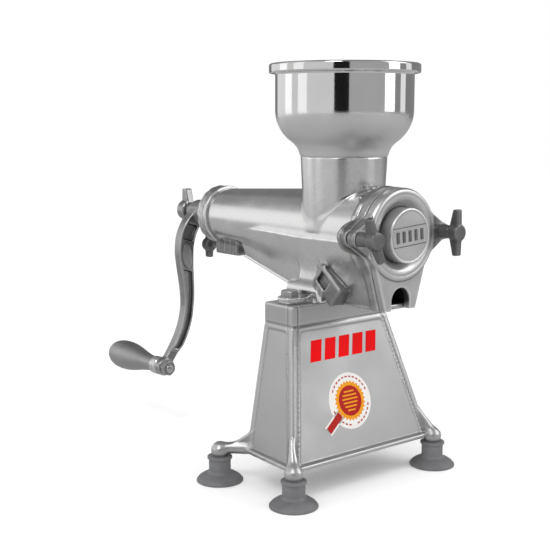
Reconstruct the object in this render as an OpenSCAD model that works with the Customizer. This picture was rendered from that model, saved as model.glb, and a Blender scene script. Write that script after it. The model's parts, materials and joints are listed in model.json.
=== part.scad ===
// Hand-cranked fruit press: a tapered screw turns inside a barrel below a hopper,
// pushes the fruit over a strainer, and stands on a cast pedestal with suction feet.
// Millimetres. +Z is up, the cover faces -Y and the crank is at +Y.
// Most shapes are drawn with the hopper's axis at x = 0, y = 0, and at_frame() moves
// them so that the origin is below the middle of the whole machine, on the floor.

/* [Barrel] */
// Outer radius of the barrel at the cover
barrel_front_r = 45.9; // [40:0.1:54]
// Outer radius of the barrel at its rear end
barrel_rear_r = 31.6; // [27:0.1:38]
// From the hopper's axis forward to the face that the cover closes
barrel_front = 75.5; // [64:0.5:92]
// From the hopper's axis back to the rear end of the barrel
barrel_back = 202; // [170:1:244]
// Wall of the barrel, the trough and the cover's skirt
wall = 4.5; // [3.5:0.1:6]
// Drop from the auger's axis to the underside of the machine's foot
foot_drop = 77.6; // [72:0.1:94]

/* [Hopper] */
// Outer radius of the hopper's bowl
bowl_r = 72.3; // [62:0.1:86]
// Height of the hopper's rim above the auger's axis
rim_rise = 171.2; // [148:0.1:206]
// Height of the seam between hopper and throat above the auger's axis
seam_rise = 76; // [68:0.5:90]
// Outer radius of the throat at the seam
throat_r = 45.5; // [40:0.5:52]
// Wall of the hopper
hopper_wall = 4; // [3:0.1:5]
// Depth of the hopper's spigot inside the throat
spigot_depth = 14; // [8:1:18]
// Overhang of the rim beyond the bowl
rim_lip = 6.5; // [4:0.5:9]

/* [Front cover] */
// Overhang of the cover's ring beyond the barrel
cover_lip = 1.3; // [0.5:0.1:3]
// Thickness of the cover's plate
cover_t = 9; // [7:0.5:12]
// Radius of the round boss in the middle of the cover
boss_r = 27.6; // [22:0.1:32]
// Distance that the boss stands proud of the plate
boss_rise = 10.8; // [8:0.1:14]
// Distance from the cover's edge out to the axis of each cover stud
stud_out = 11.3; // [10:0.1:14]
// Radius of the cover studs
stud_r = 4; // [3:0.5:5]
// Thickness of the gasket behind the cover
gasket_t = 1.5; // [1:0.1:2.5]
// Width of the arched juice outlet
outlet_w = 26; // [20:1:30]
// Height of the arched juice outlet
outlet_h = 22; // [18:1:26]

/* [Screw] */
// Radius of the main shaft inside the auger
shaft_r = 8; // [6:0.5:10]
// Radius of the shaft in the rear bush
journal_r = 9; // [7:0.5:11]
// Lead of the auger's flight
flight_pitch = 32; // [26:1:40]
// Thickness of the flight at its tip
flight_t = 3.5; // [2.5:0.5:5]
// Thickness of the strainer
strainer_t = 1.2; // [0.8:0.1:2]
// Radius of each strainer hole
strainer_hole_r = 1.5; // [0.8:0.1:1.8]

/* [Crank] */
// Distance from the shaft's axis to the grip's axis
crank_r = 199; // [165:1:240]
// Angle of the crank at rest from straight down
crank_rest = 17; // [0:1:40]
// Sideways swing of the S-shaped arm
arm_bow = 14; // [6:1:20]
// Thickness of the crank arm
arm_t = 14; // [10:0.5:18]
// Length of the grip
grip_l = 94.5; // [78:0.5:114]
// Largest radius of the grip
grip_r = 18.3; // [15:0.1:22]
// Radius of the spindle bolt inside the grip
spindle_r = 5; // [4:0.5:6]

/* [Pedestal] */
// Height of the pedestal casting
pedestal_h = 161.5; // [134:0.5:194]
// Half width of the pedestal at its top
top_half_w = 69.3; // [66:0.1:84]
// Half width of the pedestal at its bottom front edge
base_half_w = 101.5; // [92:0.1:122]
// Depth of the pedestal's top from front to back
top_depth = 45.8; // [42:0.1:56]
// Depth of the pedestal's base from front to back
base_depth = 85; // [76:1:102]
// Wall of the pedestal
pedestal_wall = 5; // [4:0.5:7]

/* [Feet] */
// Height of the pedestal's bottom edge above the floor
foot_h = 33; // [30:0.5:40]
// Height of a suction foot to the lip of its socket
cup_h = 28; // [24:0.5:29]
// Radius of a suction foot at the floor
foot_r = 25.2; // [21:0.1:30]
// Radius of a pedestal leg, which sits in a foot's socket
leg_r = 7.8; // [6:0.1:9]

/* [Hidden] */
$fn = 64;

// Clearances
run_fit = 0.05;      // radial, a shaft turning in its bush
seat_fit = 0.1;      // radial, a piece pushed into its seat
slip_fit = 0.3;      // any face that slides past another
cast_gap = 0.8;      // between the flight and the strainer
face_gap = 0.02;     // under the crank's nut

// Levels above the floor
pedestal_top = foot_h + pedestal_h;
axis_h = pedestal_top + foot_drop;

// Places that follow the barrel's radius
cover_r = barrel_front_r + cover_lip;
stud_x = cover_r + stud_out;

// Positions along the barrel, measured from the hopper's axis
flange_t = 8;
y_flange = -barrel_front;
y_cover = y_flange - gasket_t;
y_plate = y_cover - cover_t;
y_boss = y_plate - boss_rise;
collar_l = 18;
collar_r = barrel_rear_r + 3.1;
y_collar = barrel_back + collar_l;
hub_gap = 3;
arm_inset = 32;
y_arm = y_collar + arm_inset;
y_arm_back = y_arm + arm_t;
washer_t = 1.6;
nut_l = 24.5;
nut_cap_r = 8.6;
wing_reach = 23.7;
left_nut_turn = 22;
crank_nut_scale = 1.14;
y_crank_nut = y_arm_back + washer_t + face_gap;
arm_end_t = 10;
y_arm_end = y_arm_back - arm_end_t;
ferrule_l = 14;
y_grip = y_arm_back + ferrule_l + slip_fit;
y_nut_front = y_plate - washer_t - nut_l;

// The machine stands with the middle of its length over the origin
front_reach = -y_nut_front;
rear_reach = y_grip + grip_l;
machine_y = (front_reach - rear_reach) / 2;

// Thickness of a slice that a hull runs between
slice_t = 0.1;

// Metal left beside the throat's bore where it meets the barrel
throat_web = 1;

// Trough below the barrel
trough_half_top = 0.89 * barrel_front_r;
trough_half_base = 21.5;
trough_drop = foot_drop - 1.1;
trough_flat_end = 25;
trough_end = barrel_back - 52;
trough_end_drop = barrel_rear_r + 13;
trough_end_half = 14;
trough_shoulder = 12;

// Strainer below the auger and the pulp chute behind it
strainer_start = 2.5 - barrel_front;
strainer_end = trough_end - 1;
strainer_edge = 7;
chute_start = barrel_back - 36;
chute_end = barrel_back - 6;
chute_half = 13;
chute_drop = barrel_rear_r + 13.5;
chute_wall = 4;
chute_outer = chute_half + chute_wall;

// Pulp gate and its screw
gate_t = 4;
gate_travel = 12;
gate_top = barrel_rear_r - wall + 5.5;
screw_r = 3;
screw_drop = collar_r + 1.8 + screw_r;
lug_l = 10;
knob_l = 12;
y_knob = y_collar + gate_travel + 4;

// Cover studs and their ears
ear_tip_r = 9.5;
ear_root = 21;
ear_root_x = cover_r - 4.2;
boss_tip_r = 6;
boss_cone_l = 12;
boss_cone_r = 15;
boss_inset = 4;
stud_sunk = 18;

// Foot of the machine on the pedestal
y_top_back = 47.8;
y_top_front = y_top_back - top_depth;
rail_r = 10.5;
rail_x = 30;
rail_start = y_top_front - 6;
rail_end = y_top_back - 1.8;
pad_t = 5.5;
bolt_x = top_half_w - 15.8;
bolt_y = y_top_back - 0.5 * top_depth;
bolt_r = 5;
bolt_head_af = 17;
bolt_head_h = 6.5;
pad_r = 12.5;
rib_t = 7;

// Pedestal
y_base_front = y_top_back - base_depth;
band_h = 21;
flare_rise = 42;
flare_share = 0.235;
rear_taper = 7;
bead_t = 3;
bead_h = 4;

// Feet
front_foot_x = base_half_w + 1.3;
front_foot_y = y_base_front - 3.3;
rear_foot_x = base_half_w + 12;
rear_foot_y = y_top_back + 22;
socket_floor = 10;
leg_fade = 26;
cup_wall = 4;
lip = 1.6;

// Derived radii
function barrel_r(y) = barrel_front_r
    + (barrel_rear_r - barrel_front_r) * (y + barrel_front) / (barrel_front + barrel_back);
function bore_r(y) = barrel_r(y) - wall;
function sleeve_r(y) = bore_r(y) - strainer_t - slip_fit;
function flight_r(y) = sleeve_r(y) - cast_gap;
function core_r(y) = shaft_r + 4.5 + 6.5 * (y + barrel_front) / (barrel_front + barrel_back);
function mix(a, b, t) = a + (b - a) * t;
function arc(cx, cy, r, from, to, steps) =
    [for (i = [0 : steps]) [cx + r * cos(mix(from, to, i / steps)), cy + r * sin(mix(from, to, i / steps))]];

// ---------- placing ----------

// Moves a shape from the hopper's axis to the machine's frame.
module at_frame() {
    translate([0, machine_y, 0]) children();
}

// Turns a profile of [radius, y] points about the auger's axis.
module turned_y(points) {
    at_frame() translate([0, 0, axis_h]) rotate([-90, 0, 0]) rotate_extrude() polygon(points);
}

// A straight rod along +Y between two places.
module rod_y(from, to, r, r2 = 0) {
    translate([0, from, 0]) rotate([-90, 0, 0])
        cylinder(h = to - from, r1 = r, r2 = r2 > 0 ? r2 : r);
}

// Extrudes an outline of [x, z] points between two places along Y.
module slab_y(from, to) {
    translate([0, to, 0]) rotate([90, 0, 0]) linear_extrude(to - from) children();
}

// Copies a shape to both sides of x = 0.
module both_sides() {
    children();
    mirror([1, 0, 0]) children();
}

// A hexagonal prism along +Z, measured across its flats.
module hex(af, h) {
    cylinder(h = h, r = af / sqrt(3), $fn = 6);
}

// A flat ring along +Z.
module ring(r_out, r_in, h) {
    difference() {
        cylinder(h = h, r = r_out);
        translate([0, 0, -1]) cylinder(h = h + 2, r = r_in);
    }
}

// ---------- body ----------

// Outline of the trough below the barrel where the cover closes it.
module trough_outline(inset, half_base, foot) {
    polygon([
        [-trough_half_top + inset, -trough_shoulder],
        [trough_half_top - inset, -trough_shoulder],
        [half_base - inset, foot],
        [-half_base + inset, foot]
    ]);
}

// Outline shared by the body's flange and the cover, about the auger's axis.
module cover_outline() {
    circle(r = cover_r);
    trough_outline(0, trough_half_base, -trough_drop);
    both_sides() {
        translate([stud_x, 0]) circle(r = ear_tip_r);
        polygon([[ear_root_x - 8, -ear_root], [ear_root_x, -ear_root], [stud_x + 4, -ear_tip_r + 1.2],
                 [stud_x + 4, ear_tip_r - 1.2], [ear_root_x, ear_root], [ear_root_x - 8, ear_root]]);
    }
}

// A slice of the trough: a trapezoid below the barrel, thin along Y.
module trough_slice(y, half_top, half_base, drop, inset) {
    slab_y(y, y + slice_t)
        polygon([
            [-half_top + inset, -trough_shoulder],
            [half_top - inset, -trough_shoulder],
            [half_base - inset, -drop + inset],
            [-half_base + inset, -drop + inset]
        ]);
}

// The trough's solid, or its hollow when inset by the wall.
module trough(inset, front, rear) {
    middle_top = 0.93 * trough_half_top;
    hull() {
        trough_slice(front, trough_half_top, trough_half_base, trough_drop, inset);
        trough_slice(trough_flat_end, middle_top, trough_half_base - 1.5, trough_drop, inset);
    }
    hull() {
        trough_slice(trough_flat_end, middle_top, trough_half_base - 1.5, trough_drop, inset);
        trough_slice(rear, 0.68 * trough_half_top, trough_end_half, trough_end_drop, inset);
    }
}

// Bores of the casting: the auger's chamber, the throat and the windows in the floor.
module body_hollows() {
    rod_y(y_flange - 1, barrel_back + 1, bore_r(y_flange - 1), bore_r(barrel_back + 1));
    cylinder(h = seam_rise + 1, r1 = barrel_r(0) - throat_web, r2 = throat_r - wall);
    translate([0, 0, seam_rise - spigot_depth]) cylinder(h = spigot_depth + 1, r = throat_r - wall + 1);
    trough(wall, y_flange - 1, trough_end - wall);
    translate([-chute_half, chute_start, -chute_drop - 1])
        cube([2 * chute_half, chute_end - chute_start, chute_drop + 1 - gate_top / 2]);
}

// Foot of the casting: two round rails, their bolt pads and a cross rib.
module body_foot() {
    foot = -foot_drop;
    both_sides() {
        translate([rail_x, 0, foot + rail_r + 1]) rod_y(rail_start, rail_end, rail_r);
        translate([rail_x - rail_r + 2, rail_start + 6, foot])
            cube([2 * rail_r - 4, rail_end - rail_start - 12, rail_r]);
        translate([bolt_x, bolt_y, foot]) cylinder(h = pad_t, r = pad_r);
        translate([rail_x, bolt_y - pad_r, foot]) cube([bolt_x - rail_x, 2 * pad_r, pad_t]);
        slab_y(rail_start + 12, rail_end - 12)
            polygon([[rail_x - 14, foot + 6], [rail_x + 6, foot + 8], [rail_x + 4, -30], [rail_x - 14, -30]]);
    }
    slab_y(rail_start - rib_t, rail_start)
        polygon([[-rail_x - 12, foot + 2], [rail_x + 12, foot + 2], [rail_x + 4, -30], [-rail_x - 4, -30]]);
}

module body_casting() {
    color("silver")
    at_frame() translate([0, 0, axis_h]) difference() {
        union() {
            rod_y(y_flange + 1, barrel_back, barrel_r(y_flange + 1), barrel_r(barrel_back));
            cylinder(h = seam_rise, r1 = barrel_r(0), r2 = throat_r);
            slab_y(y_flange, y_flange + flange_t) cover_outline();
            trough(0, y_flange + 0.5, trough_end);
            both_sides() translate([stud_x - boss_inset, 0, 0])
                rod_y(y_flange + flange_t, y_flange + flange_t + boss_cone_l, boss_cone_r, boss_tip_r + 1);
            translate([-chute_outer, chute_start - chute_wall, -chute_drop])
                cube([2 * chute_outer, chute_end + lug_l - chute_start + chute_wall, chute_drop]);
            body_foot();
        }
        body_hollows();
        rod_y(barrel_back, chute_end + lug_l + 1, collar_r + slip_fit);
        both_sides() translate([stud_x, 0, 0])
            rod_y(y_flange - 1, y_flange + stud_sunk, stud_r + run_fit);
        translate([0, 0, -screw_drop]) rod_y(chute_end - 1, chute_end + lug_l + 1, screw_r + run_fit);
        both_sides() translate([bolt_x, bolt_y, -foot_drop - 1])
            cylinder(h = pad_t + 2, r = bolt_r + slip_fit);
    }
}

// ---------- hopper ----------

neck_bend = 54.6;
bowl_bend_r = 0.56 * bowl_r;
neck_foot = throat_r + 0.5;
bowl_bend_end_r = bowl_r - bowl_bend_r * (1 - cos(neck_bend));
neck_bend_r = (bowl_bend_end_r - neck_foot) / (1 - cos(neck_bend));
bowl_bend_rise = seam_rise - 3 + neck_bend_r * sin(neck_bend) + bowl_bend_r * sin(neck_bend);
rim_h = 10;
spigot_t = 2.6;

// Outer profile of the bowl from the neck up, moved inwards by an inset.
function bowl_profile(inset) = concat(
    arc(neck_foot + neck_bend_r, seam_rise - 3, neck_bend_r + inset, 180, 180 - neck_bend, 8),
    arc(bowl_r - bowl_bend_r, bowl_bend_rise, bowl_bend_r - inset, -neck_bend, 0, 10)
);

module hopper() {
    spigot_r = throat_r - wall + 1 - slip_fit;
    spigot_in = spigot_r - spigot_t;
    spigot_foot = seam_rise - spigot_depth + 0.5;
    neck_web = seam_rise + 3;
    rim_under = rim_rise - rim_h;
    outer = [for (p = bowl_profile(0)) if (p[1] > seam_rise) p];
    inner = [for (p = bowl_profile(hopper_wall)) if (p[1] > neck_web) p];
    color("gainsboro")
    at_frame() translate([0, 0, axis_h]) rotate_extrude() polygon(concat(
        [[spigot_in, spigot_foot], [spigot_r, spigot_foot], [spigot_r, seam_rise], [neck_foot, seam_rise]],
        outer,
        [[bowl_r, rim_under], [bowl_r + rim_lip, rim_under], [bowl_r + rim_lip, rim_rise]],
        [[bowl_r - hopper_wall, rim_rise]],
        [for (i = [len(inner) - 1 : -1 : 0]) inner[i]],
        [[spigot_in, neck_web]]
    ));
}

// ---------- front cover ----------

module front_cover() {
    dome = 2.2;
    cove_r = boss_r + 4.4;
    crown = cover_r - 6;
    color("lightgray")
    at_frame() translate([0, 0, axis_h]) difference() {
        union() {
            slab_y(y_plate, y_cover) cover_outline();
            rotate([-90, 0, 0]) rotate_extrude()
                polygon(concat([[0, y_cover], [cover_r, y_cover], [cover_r, y_plate + 1.5]],
                    [[crown + 4, y_plate - 0.6], [crown, y_plate - dome], [crown - 5, y_plate - dome + 0.3]],
                    [[cove_r, y_plate + 2.5], [boss_r + 0.4, y_plate + 3.5]],
                    [[boss_r, y_boss + 1], [boss_r - 1, y_boss], [0, y_boss]]));
        }
        // the cove between the ring and the boss, cut below the plate's face
        rotate([-90, 0, 0]) rotate_extrude()
            polygon([[boss_r, y_boss - 1], [boss_r + 0.3, y_plate + 3.5], [cove_r, y_plate + 2.5],
                [crown - 5, y_plate - dome + 0.3], [crown - 5, y_boss - 1]]);
        rod_y(y_front_bush - 0.5, y_cover + 1, front_bush_r + run_fit);
        both_sides() translate([stud_x, 0, 0]) rod_y(y_plate - 5, y_cover + 1, stud_r + slip_fit);
        slab_y(y_boss - 1, y_cover + 1) translate([0, -trough_drop - 1]) {
            translate([-outlet_w / 2, 0]) square([outlet_w, outlet_h - outlet_w / 2 + 1]);
            translate([0, outlet_h - outlet_w / 2 + 1]) circle(r = outlet_w / 2);
        }
    }
}

module cover_gasket() {
    color("dimgray")
    at_frame() translate([0, 0, axis_h]) difference() {
        union() {
            rod_y(y_cover, y_flange, cover_r);
            slab_y(y_cover, y_flange) trough_outline(0, trough_half_base, -trough_drop);
        }
        rod_y(y_cover - 1, y_flange + 1, bore_r(y_flange));
        slab_y(y_cover - 1, y_flange + 1) trough_outline(wall, trough_half_base, -trough_drop - 1);
    }
}

module cover_studs() {
    color("darkgray")
    at_frame() translate([0, 0, axis_h]) both_sides() translate([stud_x, 0, 0])
        rod_y(y_nut_front + 6, y_flange + stud_sunk - 1, stud_r);
}

module cover_washers() {
    color("silver")
    at_frame() translate([0, 0, axis_h]) both_sides()
        translate([stud_x, y_plate, 0]) rotate([90, 0, 0])
            ring(ear_tip_r - 0.7, stud_r + slip_fit, washer_t);
}

// A wing nut that screws on along +Z: a neck, a domed cap and two tapered wings.
module wing_nut(length, cap_r, reach, bore) {
    wing_root = 0.62 * length;
    wing_tip = 0.34 * length;
    wing_t = 0.8 * cap_r;
    dome_h = 0.16 * length;
    difference() {
        union() {
            cylinder(h = 0.4 * length, r1 = 0.92 * cap_r, r2 = 0.78 * cap_r);
            translate([0, 0, 0.4 * length - 0.01])
                cylinder(h = 0.12 * length, r1 = 0.78 * cap_r, r2 = cap_r);
            translate([0, 0, 0.5 * length]) cylinder(h = 0.5 * length - dome_h, r = cap_r);
            translate([0, 0, length - dome_h - 0.01])
                cylinder(h = dome_h + 0.01, r1 = cap_r, r2 = 0.72 * cap_r);
            translate([-wing_t / 2, 0, 0]) rotate([90, 0, 90]) linear_extrude(wing_t)
                polygon([
                    [-reach, 0.97 * length - wing_tip],
                    [-0.6 * cap_r, length - wing_root],
                    [0.6 * cap_r, length - wing_root],
                    [reach, 0.97 * length - wing_tip],
                    [reach, 0.93 * length],
                    [0.6 * cap_r, 0.97 * length],
                    [-0.6 * cap_r, 0.97 * length],
                    [-reach, 0.93 * length]
                ]);
        }
        translate([0, 0, -1]) cylinder(h = length - dome_h, r = bore);
    }
}

// A cover nut at rest: side is -1 or 1 and turn is how far its wings lean from upright.
module cover_wing_nut(side, turn) {
    at_frame() translate([side * stud_x, y_plate - washer_t, axis_h]) rotate([90, 0, 0])
        rotate([0, 0, turn]) wing_nut(nut_l, nut_cap_r, wing_reach, stud_r + run_fit);
}

module wing_nut_left() {
    color("dimgray") cover_wing_nut(-1, left_nut_turn);
}

module wing_nut_right() {
    color("dimgray") cover_wing_nut(1, 0);
}

// ---------- screw ----------

bush_flange_t = 2;
y_front_bush = y_boss + 4.5;
front_bush_r = shaft_r + 4;
y_thrust = y_cover + bush_flange_t + slip_fit;
thrust_t = 2;
auger_start = y_thrust + thrust_t;
auger_end = chute_end - 4;

module front_bush() {
    color("peru")
    turned_y([
        [shaft_r + run_fit, y_front_bush], [front_bush_r, y_front_bush], [front_bush_r, y_cover],
        [front_bush_r + 3, y_cover], [front_bush_r + 3, y_cover + bush_flange_t],
        [shaft_r + run_fit, y_cover + bush_flange_t]
    ]);
}

module auger_thrust_washer() {
    color("tan")
    turned_y([[shaft_r + run_fit, y_thrust], [shaft_r + 6.5, y_thrust],
        [shaft_r + 6.5, y_thrust + thrust_t], [shaft_r + run_fit, y_thrust + thrust_t]]);
}

// A half-round tapered sieve that lies in the lower half of the bore.
module strainer() {
    rows = 12;
    end_band = 9;
    row_gap = (strainer_end - strainer_start - 2 * end_band) / (rows - 1);
    r_front = sleeve_r(strainer_start);
    r_rear = sleeve_r(strainer_end);
    color("whitesmoke")
    difference() {
        turned_y([[r_front, strainer_start], [r_front + strainer_t, strainer_start],
            [r_rear + strainer_t, strainer_end], [r_rear, strainer_end]]);
        at_frame() translate([0, 0, axis_h]) {
            translate([-barrel_front_r, strainer_start - 1, strainer_edge])
                cube([2 * barrel_front_r, strainer_end - strainer_start + 2, barrel_front_r]);
            for (row = [0 : rows - 1], step = [-2 : 2])
                translate([0, strainer_start + end_band + row * row_gap, 0])
                    rotate([0, 180 + step * 20 + (row % 2) * 10 - 5, 0])
                        translate([0, 0, sleeve_r(strainer_start + end_band + row * row_gap) - 3])
                            cylinder(h = strainer_t + 6, r = strainer_hole_r, $fn = 16);
        }
    }
}

// Points of the flight's four edges, and the faces that join them, about +Z.
module flight(from, to) {
    turns = (to - from) / flight_pitch;
    steps = round(turns * 20);
    root_t = flight_t + 3;
    points = [for (i = [0 : steps], corner = [0 : 3])
        let(
            y = mix(from, to, i / steps),
            a = 360 * turns * i / steps,
            tip = corner == 1 || corner == 2,
            r = tip ? flight_r(y) : core_r(y) - 1.5,
            half = (tip ? flight_t : root_t) / 2,
            z = y + (corner < 2 ? -half : half)
        )
        [r * cos(a), r * sin(a), z]];
    sides = [for (i = [0 : steps - 1], corner = [0 : 3])
        let(a = 4 * i + corner, b = 4 * i + (corner + 1) % 4)
        each [[a, b, b + 4], [a, b + 4, a + 4]]];
    last = 4 * steps;
    first_face = [[3, 2, 1], [3, 1, 0]];
    last_face = [[last, last + 1, last + 2], [last, last + 2, last + 3]];
    polyhedron(points, concat(first_face, sides, last_face));
}

module auger() {
    color("lightsteelblue")
    at_frame() translate([0, 0, axis_h]) difference() {
        union() {
            rod_y(auger_start, auger_end, core_r(auger_start), core_r(auger_end));
            rotate([-90, 0, 0]) flight(auger_start + 5, chute_start - 2);
        }
        rod_y(auger_start - 1, auger_end + 1, shaft_r + run_fit);
    }
}

square_half = 5.5;
thread_r = 5;
y_square = y_collar + 2;
y_thread = y_arm_back - 3;
y_shaft_end = y_crank_nut + 0.72 * nut_l * crank_nut_scale;

module main_shaft() {
    color("lightslategray")
    at_frame() translate([0, 0, axis_h]) {
        rod_y(y_front_bush + 1, auger_end, shaft_r);
        rod_y(auger_end - 0.01, y_square + 0.01, journal_r);
        rotate([0, crank_rest, 0]) translate([-square_half, y_square, -square_half])
            cube([2 * square_half, y_thread - y_square, 2 * square_half]);
        rod_y(y_thread - 0.01, y_shaft_end, thread_r);
    }
}

cap_spigot_l = 8;
rear_bush_r = journal_r + 4;
seal_l = 5;

module rear_collar() {
    spigot_r = bore_r(barrel_back) - seat_fit;
    color("darkgray")
    turned_y([
        [rear_bush_r + run_fit, barrel_back - cap_spigot_l], [spigot_r, barrel_back - cap_spigot_l],
        [spigot_r, barrel_back], [collar_r - 0.8, barrel_back], [collar_r, barrel_back + 2],
        [collar_r, y_collar - 5], [collar_r - 3.5, y_collar - 0.8], [collar_r - 8, y_collar],
        [rear_bush_r + run_fit, y_collar]
    ]);
}

module rear_bush() {
    y_inner = barrel_back - cap_spigot_l + 0.5;
    color("peru")
    turned_y([[journal_r + run_fit, y_inner], [rear_bush_r, y_inner],
        [rear_bush_r, y_collar - seal_l], [journal_r + run_fit, y_collar - seal_l]]);
}

module shaft_seal() {
    color("black")
    turned_y([[journal_r + run_fit, y_collar - seal_l + 0.1], [rear_bush_r, y_collar - seal_l + 0.1],
        [rear_bush_r, y_collar], [journal_r + run_fit, y_collar]]);
}

// ---------- crank ----------

hub_r = 14.5;
end_r = 10.5;

// Sideways place of the arm's centre line, and its half width, along the crank.
function arm_side(t) = -arm_bow * sin(360 * pow(t, 0.8));
function arm_half(t) = t < 0.3 ? 10.8 : mix(10.8, 6.6, min(1, (t - 0.3) / 0.3));

// Outline of the arm between two shares of its length, about the shaft's axis.
module arm_outline(from, to, inset) {
    steps = 26;
    shares = [for (i = [0 : steps]) mix(from, to, i / steps)];
    left = [for (t = shares) [arm_side(t) - arm_half(t) + inset, -crank_r * t]];
    right = [for (i = [steps : -1 : 0])
        let(t = shares[i])
        [arm_side(t) + arm_half(t) - inset, -crank_r * t]];
    polygon(concat(left, right));
}

// Places a shape that is drawn about the shaft, with the arm straight down.
module at_crank() {
    at_frame() translate([0, 0, axis_h]) rotate([0, crank_rest, 0]) children();
}

// Places a shape that is drawn about the grip's axis.
module at_grip() {
    at_crank() translate([0, 0, -crank_r]) children();
}

module crank_arm() {
    pocket = 4.5;
    rim = 2.6;
    color("silver")
    at_crank() difference() {
        union() {
            slab_y(y_arm, y_arm_back) arm_outline(0.02, 0.9, 0);
            slab_y(y_arm_end, y_arm_back) arm_outline(0.86, 1, 0);
            rod_y(y_collar + hub_gap, y_arm_back, hub_r);
            translate([0, 0, -crank_r]) rod_y(y_arm_end, y_arm_back, end_r);
        }
        slab_y(y_arm - 1, y_arm + pocket) arm_outline(0.1, 0.19, rim);
        slab_y(y_arm - 1, y_arm + pocket) arm_outline(0.38, 0.88, rim);
        translate([-square_half - run_fit, y_collar, -square_half - run_fit])
            cube([2 * (square_half + run_fit), y_arm_back - y_collar + 1, 2 * (square_half + run_fit)]);
        translate([0, 0, -crank_r]) rod_y(y_arm_end - 1, y_arm_back + 1, spindle_r + run_fit);
    }
}

module crank_washer() {
    color("silver")
    at_crank() translate([0, y_arm_back, 0]) rotate([-90, 0, 0])
        ring(hub_r - 1.5, 1.5 * square_half, washer_t);
}

module crank_wing_nut() {
    color("gray")
    at_frame() translate([0, y_crank_nut, axis_h]) rotate([-90, 0, 0])
        wing_nut(nut_l * crank_nut_scale, nut_cap_r * 1.45, wing_reach * crank_nut_scale, thread_r + run_fit);
}

neck_r = 9.4;
spindle_head_h = 5;
head_r = spindle_r + 3.2;
y_head = y_grip + grip_l - 7;

// Half outline of the pear-shaped grip, from its neck to its round end.
function grip_profile(steps) = [for (i = [0 : steps])
    let(
        t = i / steps,
        widest = 0.7,
        swell = pow(sin(min(1, t / widest) * 90), 2),
        round_off = t > widest ? sqrt(1 - 0.68 * pow((t - widest) / (1 - widest), 2.4)) : 1
    )
    [mix(neck_r, grip_r, swell) * round_off, t * grip_l]];

module grip() {
    color("darkgray")
    at_grip() translate([0, y_grip, 0]) difference() {
        rotate([-90, 0, 0]) rotate_extrude()
            polygon(concat([[0, 0]], grip_profile(26), [[0, grip_l]]));
        rod_y(-1, grip_l + 1, spindle_r + run_fit);
        rod_y(y_head - y_grip, grip_l + 1, head_r + slip_fit);
    }
}

module grip_ferrule() {
    color("lightgray")
    at_grip() translate([0, y_arm_back, 0]) rotate([-90, 0, 0]) rotate_extrude()
        polygon([[spindle_r + run_fit, 0], [9.6, 0], [10.8, 1.5], [10.8, ferrule_l - 2], [10, ferrule_l],
            [spindle_r + run_fit, ferrule_l]]);
}

spindle_nut_h = 8;
module grip_spindle() {
    color("darkgray")
    at_grip() {
        rod_y(y_arm_end - spindle_nut_h - 3, y_head + 0.51, spindle_r);
        rod_y(y_head + 0.5, y_head + 0.5 + spindle_head_h, head_r);
    }
}

module spindle_nut() {
    color("dimgray")
    at_grip() translate([0, y_arm_end, 0]) rotate([90, 0, 0]) difference() {
        hex(17, spindle_nut_h);
        translate([0, 0, -1]) cylinder(h = spindle_nut_h + 2, r = spindle_r + run_fit);
    }
}

// ---------- pulp gate ----------

module pulp_gate() {
    side = chute_half - slip_fit;
    color("gray")
    at_frame() translate([0, 0, axis_h]) difference() {
        translate([-side, chute_end - slip_fit - gate_t, -chute_drop + 0.5])
            cube([2 * side, gate_t, chute_drop - gate_top]);
        translate([0, 0, -screw_drop])
            rod_y(chute_end - slip_fit - gate_t / 2, chute_end + 1, screw_r + run_fit);
    }
}

module regulator_screw() {
    color("darkgray")
    at_frame() translate([0, 0, axis_h - screw_drop])
        rod_y(chute_end - slip_fit - gate_t / 2 + 0.1, y_knob + knob_l - 3, screw_r);
}

module regulator_knob() {
    color("dimgray")
    at_frame() translate([0, y_knob, axis_h - screw_drop]) rotate([-90, 90, 0]) difference() {
        union() {
            cylinder(h = knob_l, r = 8);
            translate([-16, -3.5, 2]) cube([32, 7, knob_l - 3]);
        }
        translate([0, 0, -1]) cylinder(h = knob_l - 1.9, r = screw_r + run_fit);
    }
}

// ---------- pedestal ----------

flare_z = foot_h + flare_rise;
flare_half = mix(base_half_w, top_half_w, flare_share + 0.07);
flare_front = mix(y_base_front, y_top_front, flare_rise / (pedestal_h - band_h));
band_z = pedestal_top - band_h;

// A thin level slice of the pedestal; its back is narrower than its front by a taper.
module pedestal_slice(z, half, front, taper, inset) {
    translate([0, 0, z]) linear_extrude(slice_t)
        polygon([
            [-half + inset, front + inset],
            [half - inset, front + inset],
            [half - taper - inset, y_top_back - inset],
            [-half + taper + inset, y_top_back - inset]
        ]);
}

// The tapered shell, or its hollow when inset by the wall.
module pedestal_form(inset, low, high) {
    hull() {
        pedestal_slice(low, base_half_w, y_base_front, rear_taper, inset);
        pedestal_slice(flare_z, flare_half, flare_front, rear_taper * 0.7, inset);
    }
    hull() {
        pedestal_slice(flare_z, flare_half, flare_front, rear_taper * 0.7, inset);
        pedestal_slice(min(high, band_z), top_half_w, y_top_front, 0, inset);
    }
    translate([-top_half_w + inset, y_top_front + inset, band_z])
        cube([2 * (top_half_w - inset), top_depth - 2 * inset, high - band_z]);
}

// Rim around the pedestal's bottom edge.
module pedestal_bead() {
    out = bead_t;
    translate([0, 0, foot_h]) linear_extrude(bead_h)
        polygon([
            [-base_half_w - out, y_base_front - out],
            [base_half_w + out, y_base_front - out],
            [base_half_w - rear_taper + out, y_top_back],
            [-base_half_w + rear_taper - out, y_top_back]
        ]);
}

// Splayed bracket between a rear corner and its leg, on the +X side.
module rear_bracket() {
    inner_x = base_half_w - rear_taper - 16;
    hull() {
        translate([rear_foot_x, rear_foot_y, foot_h]) cylinder(h = 6, r = leg_r + 1.5, $fn = 32);
        translate([inner_x, y_top_back - 14, foot_h]) cube([14, 14, 26]);
    }
}

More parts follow.
